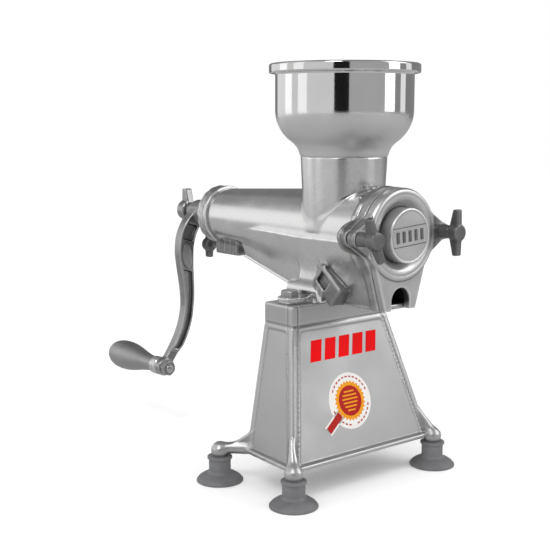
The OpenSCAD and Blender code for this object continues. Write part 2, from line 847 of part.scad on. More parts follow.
// A round leg that goes down into its foot's socket, from a rounded knee.
module leg(x, y) {
    knee_z = foot_h + 1;
    translate([x, y, socket_floor + 0.1]) cylinder(h = knee_z - socket_floor - 0.1, r = leg_r);
    translate([x, y, knee_z]) sphere(r = leg_r + 1.2);
}

// A straight rod between two points, with a radius at each end.
module rod(from, to, r_from, r_to) {
    way = to - from;
    flat = norm([way[0], way[1]]);
    translate(from) rotate([0, atan2(flat, way[2]), atan2(way[1], way[0])])
        cylinder(h = norm(way), r1 = r_from, r2 = r_to);
}

module pedestal() {
    corner_top = [
        mix(base_half_w, flare_half, leg_fade / flare_rise) - 3,
        mix(y_base_front, flare_front, leg_fade / flare_rise) + 3,
        foot_h + leg_fade
    ];
    color("darkgray")
    at_frame() difference() {
        union() {
            pedestal_form(0, foot_h, pedestal_top);
            pedestal_bead();
            both_sides() {
                rear_bracket();
                leg(rear_foot_x, rear_foot_y);
                leg(front_foot_x, front_foot_y);
                rod([front_foot_x, front_foot_y, foot_h + 1], corner_top, leg_r, 3.2);
            }
        }
        pedestal_form(pedestal_wall, foot_h - 1, pedestal_top - pedestal_wall - 1);
        both_sides() translate([bolt_x, bolt_y, pedestal_top - pedestal_wall - 3])
            cylinder(h = pedestal_wall + 5, r = bolt_r + slip_fit);
    }
}

module at_bolts() {
    at_frame() both_sides() translate([bolt_x, bolt_y, 0]) children();
}

bolt_seat = pedestal_top + pad_t;
bolt_under = pedestal_top - pedestal_wall - 1;

module pedestal_bolts() {
    color("silver")
    at_bolts() {
        translate([0, 0, bolt_seat + washer_t]) hex(bolt_head_af, bolt_head_h);
        translate([0, 0, bolt_under - 12])
            cylinder(h = bolt_seat + washer_t - bolt_under + 12.01, r = bolt_r);
    }
}

module pedestal_washers() {
    color("silver")
    at_bolts() {
        translate([0, 0, bolt_seat]) ring(10.5, bolt_r + slip_fit, washer_t);
        translate([0, 0, bolt_under - washer_t]) ring(10.5, bolt_r + slip_fit, washer_t);
    }
}

module pedestal_nuts() {
    color("silver")
    at_bolts() translate([0, 0, bolt_under - washer_t - 8]) difference() {
        hex(bolt_head_af, 8);
        translate([0, 0, -1]) cylinder(h = 10, r = bolt_r + run_fit);
    }
}

// ---------- feet ----------

// A rubber suction cup with a socket for a leg.
module suction_cup() {
    neck_r = leg_r + cup_wall;
    flare_foot = 9.5;
    color([0.36, 0.36, 0.37]) rotate_extrude() polygon(concat(
        [[0, 4.5], [7, 4.3], [foot_r - 5, 0.9], [foot_r - 3, 0], [foot_r, 0]],
        [[foot_r, 2], [foot_r - 2.4, 4.8], [foot_r - 6.6, 7.4]],
        [[neck_r + 1.6, flare_foot], [neck_r, flare_foot + 2], [neck_r, cup_h - 4]],
        [[neck_r + lip, cup_h - 2.6], [neck_r + lip, cup_h - 0.8], [neck_r + 0.6, cup_h]],
        [[leg_r + seat_fit, cup_h], [leg_r + seat_fit, socket_floor], [0, socket_floor]]
    ));
}

module at_front_foot(side) {
    at_frame() translate([side * front_foot_x, front_foot_y, 0]) children();
}

module at_rear_foot(side) {
    at_frame() translate([side * rear_foot_x, rear_foot_y, 0]) children();
}

module foot_front_left() {
    at_front_foot(-1) suction_cup();
}

module foot_front_right() {
    at_front_foot(1) suction_cup();
}

module foot_rear_left() {
    at_rear_foot(-1) suction_cup();
}

module foot_rear_right() {
    at_rear_foot(1) suction_cup();
}

// ---------- decals on the front face ----------

sheet_t = 0.3;
bar_w = 15;
bar_h = 22.5;
bar_step = 20;
bar_lean = 6;
sticker_r = 30;
ribbon_l = 34;
ribbon_w = 11;

// Places a flat shape on the sloping front face at a height and a sideways place.
face_lean = atan((y_top_front - flare_front) / (band_z - flare_z));
module on_front_face(x, z) {
    face_y = mix(flare_front, y_top_front, (z - slice_t - flare_z) / (band_z - flare_z));
    at_frame() translate([x, face_y, z]) rotate([90 - face_lean, 0, 0]) linear_extrude(sheet_t) children();
}

module front_decal() {
    color("red")
    on_front_face(-2, pedestal_top - 48.5)
        for (i = [-2 : 2]) translate([i * bar_step, 0])
            polygon([
                [-(bar_w + bar_lean) / 2, -bar_h / 2],
                [(bar_w - bar_lean) / 2, -bar_h / 2],
                [(bar_w + bar_lean) / 2, bar_h / 2],
                [-(bar_w - bar_lean) / 2, bar_h / 2]
            ]);
}

module round_sticker() {
    color("white")
    on_front_face(-7, pedestal_top - 105) {
        circle(r = sticker_r);
        rotate([0, 0, 36]) translate([-sticker_r - 0.5 * ribbon_l, -ribbon_w / 2])
            square([ribbon_l, ribbon_w]);
    }
}

body_casting();
hopper();
front_cover();
cover_gasket();
cover_studs();
cover_washers();
wing_nut_left();
wing_nut_right();
front_bush();
auger_thrust_washer();
strainer();
auger();
main_shaft();
rear_collar();
rear_bush();
shaft_seal();
crank_arm();
crank_washer();
crank_wing_nut();
grip();
grip_ferrule();
grip_spindle();
spindle_nut();
pulp_gate();
regulator_screw();
regulator_knob();
pedestal();
pedestal_bolts();
pedestal_washers();
pedestal_nuts();
foot_front_left();
foot_front_right();
foot_rear_left();
foot_rear_right();
front_decal();
round_sticker();
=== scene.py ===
import bpy
import json
import math
import numpy as np
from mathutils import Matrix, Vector


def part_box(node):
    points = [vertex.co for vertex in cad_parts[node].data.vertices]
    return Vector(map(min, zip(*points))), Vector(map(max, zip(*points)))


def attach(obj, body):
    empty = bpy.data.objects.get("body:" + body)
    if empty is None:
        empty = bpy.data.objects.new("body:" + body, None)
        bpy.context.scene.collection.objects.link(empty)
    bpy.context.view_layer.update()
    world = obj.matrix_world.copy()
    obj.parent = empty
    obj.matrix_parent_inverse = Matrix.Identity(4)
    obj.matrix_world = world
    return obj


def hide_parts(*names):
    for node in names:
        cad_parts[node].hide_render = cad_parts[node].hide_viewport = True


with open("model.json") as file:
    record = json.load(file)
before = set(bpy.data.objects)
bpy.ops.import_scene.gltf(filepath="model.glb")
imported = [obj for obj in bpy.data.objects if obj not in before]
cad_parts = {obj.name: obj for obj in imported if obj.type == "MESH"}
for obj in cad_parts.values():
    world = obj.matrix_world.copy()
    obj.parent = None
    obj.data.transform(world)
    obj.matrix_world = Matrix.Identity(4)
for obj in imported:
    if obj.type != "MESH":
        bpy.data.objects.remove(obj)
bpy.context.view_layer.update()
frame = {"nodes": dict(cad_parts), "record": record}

joints = {j["name"]: j for j in frame["record"]["behaviour"]["joints"]}

# Every shape below is drawn in millimetres about the point where the hopper's axis
# crosses the auger's axis, and is moved to the frame when its mesh is made.
hopper_low, hopper_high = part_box("hopper")
AXIS_Z = joints["crank_turn"]["pos_m"][2]
ORIGIN = np.array([0.0, (hopper_low[1] + hopper_high[1]) / 2, AXIS_Z])
FLOOR = -1000 * AXIS_Z


def local(node):
    """A node's lowest and highest corners in drawing millimetres."""
    low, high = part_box(node)
    return (np.array(low) - ORIGIN) * 1000, (np.array(high) - ORIGIN) * 1000


# ---------------------------------------------------------------- distance fields

def smin(a, b, k):
    """The nearer of two distances, blended over a width of k."""
    h = np.clip(0.5 + 0.5 * (b - a) / k, 0, 1)
    return b + (a - b) * h - k * h * (1 - h)


def smax(a, b, k):
    """The farther of two distances, blended over a width of k."""
    return -smin(-a, -b, k)


def box(X, Y, Z, low, high, r=0.0):
    """A box between two corners with edges rounded by r."""
    c = [(a + b) / 2 for a, b in zip(low, high)]
    h = [(b - a) / 2 - r for a, b in zip(low, high)]
    qx, qy, qz = abs(X - c[0]) - h[0], abs(Y - c[1]) - h[1], abs(Z - c[2]) - h[2]
    out = np.sqrt(np.maximum(qx, 0) ** 2 + np.maximum(qy, 0) ** 2 + np.maximum(qz, 0) ** 2)
    return out + np.minimum(np.maximum(np.maximum(qx, qy), qz), 0) - r


def rod(radial, along, low, high, r, edge=0.0):
    """A round rod: radial is the distance from its axis and along the place on it."""
    qr = radial - r + edge
    qa = abs(along - (low + high) / 2) - (high - low) / 2 + edge
    return np.hypot(np.maximum(qr, 0), np.maximum(qa, 0)) + np.minimum(np.maximum(qr, qa), 0) - edge


def cone(radial, along, low, high, r_low, r_high, edge=0.0):
    """A tapered rod, given as rod() is, with a radius at each end."""
    slope = (r_high - r_low) / (high - low)
    side = (radial - r_low - slope * (along - low)) / math.hypot(1, slope)
    ends = abs(along - (low + high) / 2) - (high - low) / 2
    return smax(side, ends, max(edge, 0.01))


def convex(U, V, points):
    """Signed distance to a convex outline given anticlockwise."""
    d = None
    for (x0, y0), (x1, y1) in zip(points, points[1:] + points[:1]):
        n = math.hypot(x1 - x0, y1 - y0)
        e = ((U - x0) * (y1 - y0) - (V - y0) * (x1 - x0)) / n
        d = e if d is None else np.maximum(d, e)
    return d


# ---------------------------------------------------------------- meshes

def add_mesh(name, verts, faces, mat, body, node=None, sharp=None, second=None, where=None):
    """Makes a mesh that rides on a body and stands in for a node, from points in drawing millimetres."""
    me = bpy.data.meshes.new(name)
    points = (np.asarray(verts) / 1000 + ORIGIN).tolist()
    me.from_pydata(points, [], [tuple(int(i) for i in f) for f in faces])
    me.validate()
    me.update()
    me.shade_smooth()
    if sharp is not None:
        me.set_sharp_from_angle(angle=math.radians(sharp))
    ob = bpy.data.objects.new(name, me)
    bpy.context.scene.collection.objects.link(ob)
    me.materials.append(mat)
    if second:
        # faces whose middle lies inside a region get a second finish
        me.materials.append(second)
        middle = np.asarray(verts)[np.asarray(faces)].mean(1)
        me.polygons.foreach_set("material_index", where(*middle.T).astype(np.int32))
    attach(ob, body)
    for n in ([node] if isinstance(node, str) else node or []):
        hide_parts(n)
    return ob


def skin(field, low, high, step):
    """A mesh of the surface where the field is zero, by surface nets, pulled on to it."""
    low = np.array(low, float) - 1.7 * step
    high = np.array(high, float) + 1.7 * step
    axes = [np.arange(a, b + step, step) for a, b in zip(low, high)]
    F = field(*np.meshgrid(*axes, indexing="ij"))
    inside = F < 0
    n = np.array(F.shape) - 1
    corners = [(i, j, k) for i in (0, 1) for j in (0, 1) for k in (0, 1)]
    count = sum(inside[i:i + n[0], j:j + n[1], k:k + n[2]].astype(np.int8) for i, j, k in corners)
    cells = np.argwhere((count > 0) & (count < 8))
    index = -np.ones(tuple(n), dtype=np.int64)
    index[tuple(cells.T)] = np.arange(len(cells))
    total = np.zeros((len(cells), 3))
    hits = np.zeros(len(cells))
    for a in corners:
        for axis in range(3):
            if a[axis]:
                continue
            b = tuple(v + (1 if i == axis else 0) for i, v in enumerate(a))
            fa = F[tuple((cells + a).T)]
            fb = F[tuple((cells + b).T)]
            cross = (fa < 0) != (fb < 0)
            t = fa[cross] / (fa[cross] - fb[cross])
            p = (cells[cross] + a).astype(float)
            p[:, axis] += t
            total[cross] += p
            hits[cross] += 1
    P = total / hits[:, None] * step + low
    faces = []
    for axis in range(3):
        u, v = [i for i in range(3) if i != axis]
        A = [slice(None)] * 3
        B = [slice(None)] * 3
        A[axis], B[axis] = slice(0, -1), slice(1, None)
        change = inside[tuple(A)] != inside[tuple(B)]
        g = np.argwhere(change)
        g = g[(g[:, u] > 0) & (g[:, v] > 0) & (g[:, u] < n[u]) & (g[:, v] < n[v])]
        du, dv = np.eye(3, dtype=int)[u], np.eye(3, dtype=int)[v]
        q = np.stack([index[tuple((g - o).T)] for o in (du + dv, dv, 0 * du, du)], axis=1)
        flip = inside[tuple(g.T)] != (axis == 1)
        q[~flip] = q[~flip][:, ::-1]
        faces.append(q)
    faces = np.concatenate(faces)
    for _ in range(4):
        f = field(*P.T)
        e = 0.12
        G = np.stack([field(*(P + d).T) - field(*(P - d).T) for d in np.eye(3) * e], axis=1) / (2 * e)
        move = f / np.maximum((G ** 2).sum(1), 0.2)
        P = P - np.clip(move, -0.5 * step, 0.5 * step)[:, None] * G
    return P, faces


def lathe(profile, along, centre, turns=96):
    """Turns a profile of [radius, place] about an axis through centre: along is 1 for Y, 2 for Z."""
    a = np.linspace(0, 2 * math.pi, turns, endpoint=False)
    r, h = np.array(profile, float).T
    c, s = np.cos(a)[None], np.sin(a)[None]
    place = np.repeat(h[:, None], turns, 1)
    if along == 2:
        P = np.stack([r[:, None] * c, r[:, None] * s, place], -1)
    else:
        P = np.stack([r[:, None] * s, place, r[:, None] * c], -1)
    P = P.reshape(-1, 3) + np.array(centre)
    m = len(profile)
    i, j = np.meshgrid(np.arange(m - 1), np.arange(turns), indexing="ij")
    k = (j + 1) % turns
    q = np.stack([i * turns + j, i * turns + k, (i + 1) * turns + k, (i + 1) * turns + j], -1).reshape(-1, 4)
    return P, q


def fillet(points, steps=5):
    """Rounds the corners of an open profile of (x, y, radius) points with arcs."""
    out = [points[0][:2]]
    for p, q, s in zip(points, points[1:], points[2:]):
        P, Q, S = (np.array(v[:2], float) for v in (p, q, s))
        a, b = P - Q, S - Q
        la, lb = np.linalg.norm(a), np.linalg.norm(b)
        a, b = a / la, b / lb
        half = math.acos(max(-1, min(1, a @ b))) / 2
        r = q[2] if len(q) > 2 else 0
        if r <= 0 or abs(half - math.pi / 2) < 0.02:
            out.append(tuple(Q))
            continue
        d = min(r / math.tan(half), 0.49 * la, 0.49 * lb)
        r = d * math.tan(half)
        c = Q + (a + b) / np.linalg.norm(a + b) * (r / math.sin(half))
        u, v = Q + a * d - c, Q + b * d - c
        turn = math.atan2(u[0] * v[1] - u[1] * v[0], u @ v)
        for i in range(steps + 1):
            t = turn * i / steps
            out.append((c[0] + u[0] * math.cos(t) - u[1] * math.sin(t),
                        c[1] + u[0] * math.sin(t) + u[1] * math.cos(t)))
    out.append(points[-1][:2])
    return out


# ---------------------------------------------------------------- materials

def finish(name, colour, rough, spread=0.06, patch=30, bump=0.3, lump=0.0, lump_size=60, metal=1.0,
           lines=None, edge=0.0, hollow_shade=0.0, grain=1400, spec=0.5, zone=None):
    """A procedural finish: patches of tone and roughness, fine grain, casting lumps, wear on sharp edges and painted
    shade in the hollows.
    """
    m = bpy.data.materials.new(name)
    m.use_nodes = True
    nt = m.node_tree
    bsdf = nt.nodes["Principled BSDF"]
    new = nt.nodes.new
    link = nt.links.new
    place = new("ShaderNodeTexCoord").outputs["Object"]
    bsdf.inputs["Metallic"].default_value = metal
    bsdf.inputs["Specular IOR Level"].default_value = spec

    def noise(scale, detail, stretch=None, rough_in=0.55):
        src = place
        if stretch:
            mp = new("ShaderNodeMapping")
            mp.inputs["Scale"].default_value = stretch
            link(src, mp.inputs["Vector"])
            src = mp.outputs["Vector"]
        t = new("ShaderNodeTexNoise")
        t.inputs["Scale"].default_value = scale
        t.inputs["Detail"].default_value = detail
        t.inputs["Roughness"].default_value = rough_in
        link(src, t.inputs["Vector"])
        return t.outputs["Fac"]

    def span(value, lo, hi, out_lo, out_hi):
        r = new("ShaderNodeMapRange")
        for key, v in (("From Min", lo), ("From Max", hi), ("To Min", out_lo), ("To Max", out_hi)):
            r.inputs[key].default_value = v
        link(value, r.inputs["Value"])
        return r.outputs["Result"]

    def times(a, b):
        n = new("ShaderNodeMath")
        n.operation = "MULTIPLY"
        link(a, n.inputs[0])
        link(b, n.inputs[1])
        return n.outputs[0]

    patches = noise(patch, 5)
    tone = span(patches, 0.3, 0.7, 1 - spread, 1 + spread)
    # hollows are painted darker as shade, sharp edges lighter as wear
    if edge or hollow_shade:
        geo = new("ShaderNodeNewGeometry").outputs["Pointiness"]
        tone = times(tone, span(geo, 0.44, 0.56, 1 - hollow_shade, 1 + edge))
    rough_out = span(patches, 0.3, 0.7, max(rough * 0.75, 0.04), rough * 1.3)
    if zone:
        # metal left rough from the mould over part of the piece, along one axis of the frame
        axis, clear, full, dark, coarse, patchy = zone
        parts = new("ShaderNodeSeparateXYZ")
        link(place, parts.inputs[0])
        here = times(span(parts.outputs[axis], clear, full, 0, 1), span(noise(90, 4), 0.35, 0.6, patchy, 1))
        tone = times(tone, span(here, 0, 1, 1, dark))
        rough_out = times(rough_out, span(here, 0, 1, 1, coarse))
    mix = new("ShaderNodeMix")
    mix.data_type = "RGBA"
    mix.blend_type = "MULTIPLY"
    mix.inputs["Factor"].default_value = 1.0
    mix.inputs["A"].default_value = (*colour, 1)
    grey = new("ShaderNodeCombineColor")
    for c in ("Red", "Green", "Blue"):
        link(tone, grey.inputs[c])
    link(grey.outputs["Color"], mix.inputs["B"])
    link(mix.outputs["Result"], bsdf.inputs["Base Color"])
    link(rough_out, bsdf.inputs["Roughness"])

    normal = None
    layers = [(noise(grain, 2), bump, 0.00004)]
    if lines:
        layers.append((noise(lines[0], 3, lines[1]), lines[2], 0.00005))
    if lump:
        layers.append((noise(lump_size, 3), lump, 0.0012))
    for height, strength, distance in layers:
        b = new("ShaderNodeBump")
        b.inputs["Strength"].default_value = strength
        b.inputs["Distance"].default_value = distance
        link(height, b.inputs["Height"])
        if normal:
            link(normal, b.inputs["Normal"])
        normal = b.outputs["Normal"]
    link(normal, bsdf.inputs["Normal"])
    return m


# each finish's hollow_shade paints shade into its hollows
M = {
    "polished_casting": finish("polished_casting", (0.7, 0.7, 0.697), 0.24, 0.08, 26, 0.3, 0.06, 55,
                               edge=0.25, hollow_shade=0.5, zone=("Y", -0.185, -0.198, 0.62, 1.7, 0.35)),
    "bowl": finish("bowl_turned", (0.72, 0.72, 0.717), 0.07, 0.05, 22, 0.12, 0.01, 34, edge=0.15, hollow_shade=0.2,
                   lines=(900, (0.05, 0.05, 1), 0.12), zone=("Z", 0.396, 0.381, 0.95, 6.5, 1)),
    "satin_casting": finish("satin_casting", (0.78, 0.78, 0.777), 0.38, 0.07, 34, 0.6, 0.05, 90,
                            edge=0.3, hollow_shade=0.9),
    "pedestal": finish("pedestal_casting", (0.47, 0.47, 0.473), 0.44, 0.05, 24, 0.7, 0.05, 40,
                       edge=0.5, hollow_shade=0.5),
    "grip": finish("grip_casting", (0.37, 0.37, 0.373), 0.4, 0.05, 40, 0.5, 0.04, 60),
    "as_cast": finish("as_cast", (0.5, 0.5, 0.5), 0.3, 0.14, 60, 0.7, 0.4, 150, edge=0.8, hollow_shade=0.8),
    # rough cast metal, its dark colour partly painted shade
    "rough": finish("rough_casting", (0.2, 0.2, 0.2), 0.36, 0.16, 70, 0.8, 0.45, 130, edge=1.2, hollow_shade=0.7),
    "crank": finish("crank_casting", (0.31, 0.31, 0.31), 0.34, 0.14, 60, 0.7, 0.3, 150, edge=0.9, hollow_shade=0.9),
    "dark_casting": finish("dark_casting", (0.1, 0.1, 0.101), 0.4, 0.14, 60, 0.6, 0.14, 120,
                           metal=0.75, edge=1.2, hollow_shade=0.4),
    "steel": finish("steel", (0.5, 0.5, 0.5), 0.25, 0.06, 60, 0.3, lines=(500, (1, 0.05, 1), 0.3), edge=0.2),
    "zinc": finish("zinc", (0.36, 0.36, 0.365), 0.3, 0.14, 90, 0.4, 0.05, 200, edge=0.4, hollow_shade=0.4),
    "stainless": finish("stainless", (0.6, 0.6, 0.6), 0.22, 0.04, 50, 0.3, lines=(700, (1, 0.04, 1), 0.3)),
    "bronze": finish("bronze", (0.55, 0.36, 0.18), 0.3, 0.1, 60, 0.3),
    "rubber": finish("rubber", (0.12, 0.121, 0.125), 0.55, 0.14, 60, 0.7, 0.06, 150,
                     metal=0.0, edge=0.5, spec=0.4),
    "fibre": finish("fibre", (0.35, 0.24, 0.14), 0.6, 0.15, 90, 0.7, metal=0.0),
    "red_print": finish("red_print", (0.74, 0.002, 0.004), 0.5, 0.05, 90, 0.2, metal=0.0, spec=0.05),
    "white_print": finish("white_print", (0.72, 0.7, 0.68), 0.5, 0.03, 90, 0.2, metal=0.0, spec=0.1),
    "gold_print": finish("gold_print", (0.72, 0.28, 0.01), 0.5, 0.12, 300, 0.2, metal=0.0, spec=0.1),
    "maroon_print": finish("maroon_print", (0.36, 0.012, 0.008), 0.5, 0.18, 300, 0.2, metal=0.0, spec=0.1),
    "boss_marks": finish("boss_marks", (0.16, 0.16, 0.16), 0.4, 0.2, 300, 0.3, metal=0.9),
}

# ---------------------------------------------------------------- sizes shared by the pieces

BARREL_F, BARREL_B = -75.5, 202.0
R_FRONT, R_REAR, WALL = 45.9, 31.6, 4.5
SEAM, THROAT_R, FOOT = 76.0, 45.5, -77.6
Y_PLATE, Y_COVER, Y_BOSS = -86.0, -77.0, -96.8
STUD_X = (local("wing_nut_right")[0][0] + local("wing_nut_right")[1][0]) / 2
Y_COLLAR, Y_ARM, Y_ARM_BACK, Y_ARM_END = 220.0, 252.0, 266.0, 256.0
CRANK_R, CRANK_REST = 199.0, math.radians(17)
GRIP = (-CRANK_R * math.sin(CRANK_REST), 0, -CRANK_R * math.cos(CRANK_REST))
BOLT_X, BOLT_Y = 53.5, 24.9      # the two bolts that hold the casting to the pedestal
BLOCK = (16, -19, -13), (38.5, 19, 12)      # corners of the slanted block beside each foot rib


def barrel_r(Y):
    """The barrel's outer radius, which narrows to the rear."""
    return R_FRONT + (R_REAR - R_FRONT) * (Y - BARREL_F) / (BARREL_B - BARREL_F)


def trough(X, Y, Z, inset, front, rear, k):
    """The trough below the barrel: level at the front, then rising to the rear."""
    t = np.clip((Y - 25) / 125, 0, 1)
    top = np.where(Y < 25, 40.85 - 0.0286 * (Y - BARREL_F), 38 + (27.8 - 38) * t) - inset
    base = np.where(Y < 25, 21.5 - 0.015 * (Y - BARREL_F), 20 + (14 - 20) * t) - inset
    drop = 76.5 + (44.6 - 76.5) * t - inset
    half = base + (top - base) * np.clip((Z + drop) / (drop - 12), -0.2, 1.1)
    side = (abs(X) - half) * 0.957
    under = (-Z - drop) * np.where(Y > 25, 0.969, 1)
    d = smax(side, under, k)
    return np.maximum(np.maximum(d, Z + 12), np.maximum(front - Y, Y - rear))


def on_slant(Y, Z):
    """Places along and across the slanted block."""
    p, q = Y + 15, Z + 56
    return -0.77 * p - 0.64 * q, 0.77 * q - 0.64 * p


def cover_outline(X, Z):
    """The outline that the flange and the cover share: ring, skirt and two ears."""
    d = np.hypot(X, Z) - 47.2
    A = abs(X)
    d = smin(d, convex(A, Z, [(-5, -76.5), (21.5, -76.5), (40.85, -12), (-5, -12)]), 1.5)
    ear = convex(A, Z, [(30, -21), (43, -21), (61.5, -8.6), (61.5, 8.6), (43, 21), (30, 21)])
    ear = np.minimum(ear, np.hypot(A - STUD_X, Z) - 9.5)
    return smin(d, ear, 3)


def casting(X, Y, Z):
    R = np.hypot(X, Z)
    T = np.hypot(X, Y)
    A = abs(X)
    d = np.maximum((R - barrel_r(Y)) * 0.9987, np.maximum(BARREL_F + 0.5 - Y, Y - BARREL_B))
    d = smin(d, trough(X, Y, Z, 0, BARREL_F + 0.5, 150, 5), 12 * np.clip((152 - Y) / 60, 0.1, 1))
    # a bead runs along each lower edge of the trough
    t = np.clip((Y - 25) / 125, 0, 1)
    bx, bz = 20.2 - 6 * t, -75.2 + 31.5 * t
    d = smin(d, np.maximum(np.hypot(A - bx, Z - bz) - 1.7, abs(Y - 40) - 112), 1.5)
    d = smin(d, np.maximum(T - (42 + 3.5 * Z / 76), np.maximum(Z - SEAM, -Z)), 2.6)
    # flange behind the cover, with its shoulder of rougher metal
    o = cover_outline(X, Z)
    flange = smax(o, abs(Y + 71.5) - 4, 1.2)
    d = smin(d, flange, 3)
    bead = np.hypot(R - barrel_r(Y) - 0.6, Y + 61) - 2.2
    d = smin(d, bead, 4)
    d = smin(d, cone(np.hypot(A - STUD_X + 4, Z), Y, -68, -55, 15.5, 6.5, 2.5), 5)
    d = smin(d, box(A, Y, Z, (36, -66, -12), (50, -58, -3), 3), 4)
    # two small oval pads on the upper shoulder
    for px, py, pz in ((-25, -57, 36.5), (-8, -52, 44.5)):
        oval = np.sqrt(((X - px) / 8) ** 2 + ((Y - py) / 3.4) ** 2 + ((Z - pz) / 3.4) ** 2) * 3.4 - 3.4
        d = smin(d, oval, 1.6)
    # pulp chute with its ribs
    chute = box(X, Y, Z, (-17, 162, -45.1), (17, 206, -10), 2.5)
    d = smin(d, chute, 5)
    for ry in (165, 176, 187, 198):
        d = smin(d, box(X, Y, Z, (-18.2, ry - 1.5, -43), (18.2, ry + 1.5, -18), 1.4), 1.5)
    # foot: rails, bolt pads with a raised rim, and the front rib with its lobe
    rail = rod(np.hypot(A - 30, Z - FOOT - 11.5), Y, -4, 46, 10.5, 1.2)
    d = smin(d, rail, 2)
    web = box(A, Y, Z, (21, 2, FOOT), (39, 40, FOOT + 11), 1.5)
    d = smin(d, web, 1.5)
    D = np.hypot(A - BOLT_X, Y - BOLT_Y)
    pad = np.minimum(rod(D, Z, FOOT, FOOT + 5.5, 12.5, 0.8),
                     box(A, Y, Z, (30, BOLT_Y - 12.5, FOOT), (BOLT_X, BOLT_Y + 12.5, FOOT + 5.5), 0.8))
    d = smin(d, pad, 1.5)
    rim = np.hypot(np.clip(D - 11.9, -9, 9), Z - FOOT - 5.5) - 0.9
    d = smin(d, rim, 0.6)
    slope = np.clip((Z - FOOT) / 47, 0, 1)
    brace = smax(smax(A - 36 + 7 * slope, 14 - A, 1), np.maximum(abs(Y - 21) - 13, abs(Z + 53) - 23), 1.5)
    d = smin(d, brace, 5)
    rib = smax(A - 42 + 8 * slope, np.maximum(abs(Y + 7.5) - 3.5, abs(Z + 52.5) - 22.5), 1.5)
    d = smin(d, rib, 4)
    slant, cross = on_slant(Y, Z)
    block = box(A, slant, cross, *BLOCK, 2.5)
    d = smin(d, smax(block, FOOT - Z, 1), 2.5)
    d = smax(d, -box(A, slant, cross, (34, -14, -6), (45, 2, 7), 1.5), 1)
    # hollows
    inner = np.minimum(R - barrel_r(Y) + WALL, trough(X, Y, Z, WALL, -90, 145.5, 3))
    inner = np.minimum(inner, np.maximum(T - 41, -Z))
    inner = np.minimum(inner, np.maximum(T - 42, SEAM - 14 - Z))
    inner = np.minimum(inner, box(X, Y, Z, (-13, 166, -60), (13, 196, -13.5)))
    inner = np.minimum(inner, np.maximum(R - 35, BARREL_B - Y))
    inner = np.minimum(inner, np.hypot(X, Z + 39.5) - 3.05 + 200 * (abs(Y - 200) > 9))
    inner = np.minimum(inner, np.maximum(np.hypot(A - STUD_X, Z) - 4.05, Y + 57.5))
    inner = np.minimum(inner, np.maximum(D - 5.3, Z + 65))
    d = smax(d, -inner, 0.8)
    return np.maximum(d, FOOT - Z)


def rough_and_painted_shade(X, Y, Z):
    """Where the casting is left as it came from the mould, its dark colour partly painted shade: chute, ear bosses,
    blocks and shoulder.
    """
    A, R = abs(X), np.hypot(X, Z)
    off = R > barrel_r(Y) + 1.2
    chute = (Y > 158) & (Z < -14) & off & (Y < 209)
    ear = (A > 44) & (Y < -50) & (R > 50)
    block = (A > 15) & (Y < 5) & (Y > -38) & (Z < -34) & (box(A, *on_slant(Y, Z), *BLOCK) < 2)
    shoulder = off & (Y < -50) & (Y > -67) & (Z > 20)
    return chute | ear | block | shoulder


V, Q = skin(casting, (-69, -76, -78), (69, 207, 77), 1.2)
# places left rough from the mould, painted dark partly as shade
add_mesh("casting_body", V, Q, M["polished_casting"], "machine", "body_casting",
         second=M["rough"], where=rough_and_painted_shade)


def cover(X, Y, Z):
    R = np.hypot(X, Z)
    A = abs(X)
    d = smax(cover_outline(X, Z), abs(Y - (Y_PLATE + Y_COVER) / 2) - 4.5, 1.6)
    d = smin(d, rod(R, Y, -88.6, -80, 46.6, 3.2), 0.8)
    cove = -81.2 - 7.4 * np.sin(np.clip((R - 28.2) / 11.5, 0, 1) * np.pi / 2)
    d = smax(d, np.where(R < 42, cove - Y, -1) * 0.85, 1.2)
    boss = rod(R, Y, Y_BOSS, -80, 27.6, 0.9)
    rim = np.hypot(R - 26.4, Y - Y_BOSS - 0.2) - 0.8
    d = smin(smin(d, boss, 1.2), rim, 0.5)
    ear = rod(np.hypot(A - STUD_X, Z), Y, Y_PLATE, -78, 9.5, 0.6)
    d = np.minimum(d, ear)
    arch = np.minimum(convex(A, Z, [(-2, -90), (13, -90), (13, -66.6), (-2, -66.6)]),
                      np.hypot(X, Z + 66.6) - 13)
    d = smax(d, -arch, 1.4)
    d = smax(d, -np.maximum(R - 12.05, -92.8 - Y), 0.3)
    d = smax(d, -(np.hypot(A - STUD_X, Z) - 4.3), 0.3)
    return smax(d, Y - Y_COVER, 0.4)


V, Q = skin(cover, (-69, -97, -77), (69, -77, 48), 0.85)
# the cover's ears take the rough finish, its dark colour partly painted shade
add_mesh("cover_casting", V, Q, M["satin_casting"], "cover", "front_cover", second=M["rough"],
         where=lambda X, Y, Z: (abs(X) > 46.5) & (np.hypot(X, Z) > 48))

# ---------------------------------------------------------------- hopper and turned pieces

# The bowl's wall is an ogee: an arc of radius R2 leaves the neck and one of radius R1 runs up to the rim.
neck, bowl, rim_r, top = 46.0, 72.3, 78.8, 171.2
bend = math.radians(54.6)
R1 = 0.56 * bowl
R2 = (bowl - R1 * (1 - math.cos(bend)) - neck) / (1 - math.cos(bend))
z1 = SEAM - 3 + (R1 + R2) * math.sin(bend)


def bowl_wall(inset):
    """The wall's line from neck to rim, moved inwards by inset."""
    low = [(neck + R2 + (R2 + inset) * math.cos(math.pi - bend * t),
            SEAM - 3 + (R2 + inset) * math.sin(math.pi - bend * t)) for t in np.linspace(0, 1, 14)]
    high = [(bowl - R1 + (R1 - inset) * math.cos(-bend * (1 - t)),
             z1 + (R1 - inset) * math.sin(-bend * (1 - t))) for t in np.linspace(0, 1, 22)][1:]
    return [p for p in low + high if p[1] > SEAM + 0.6]


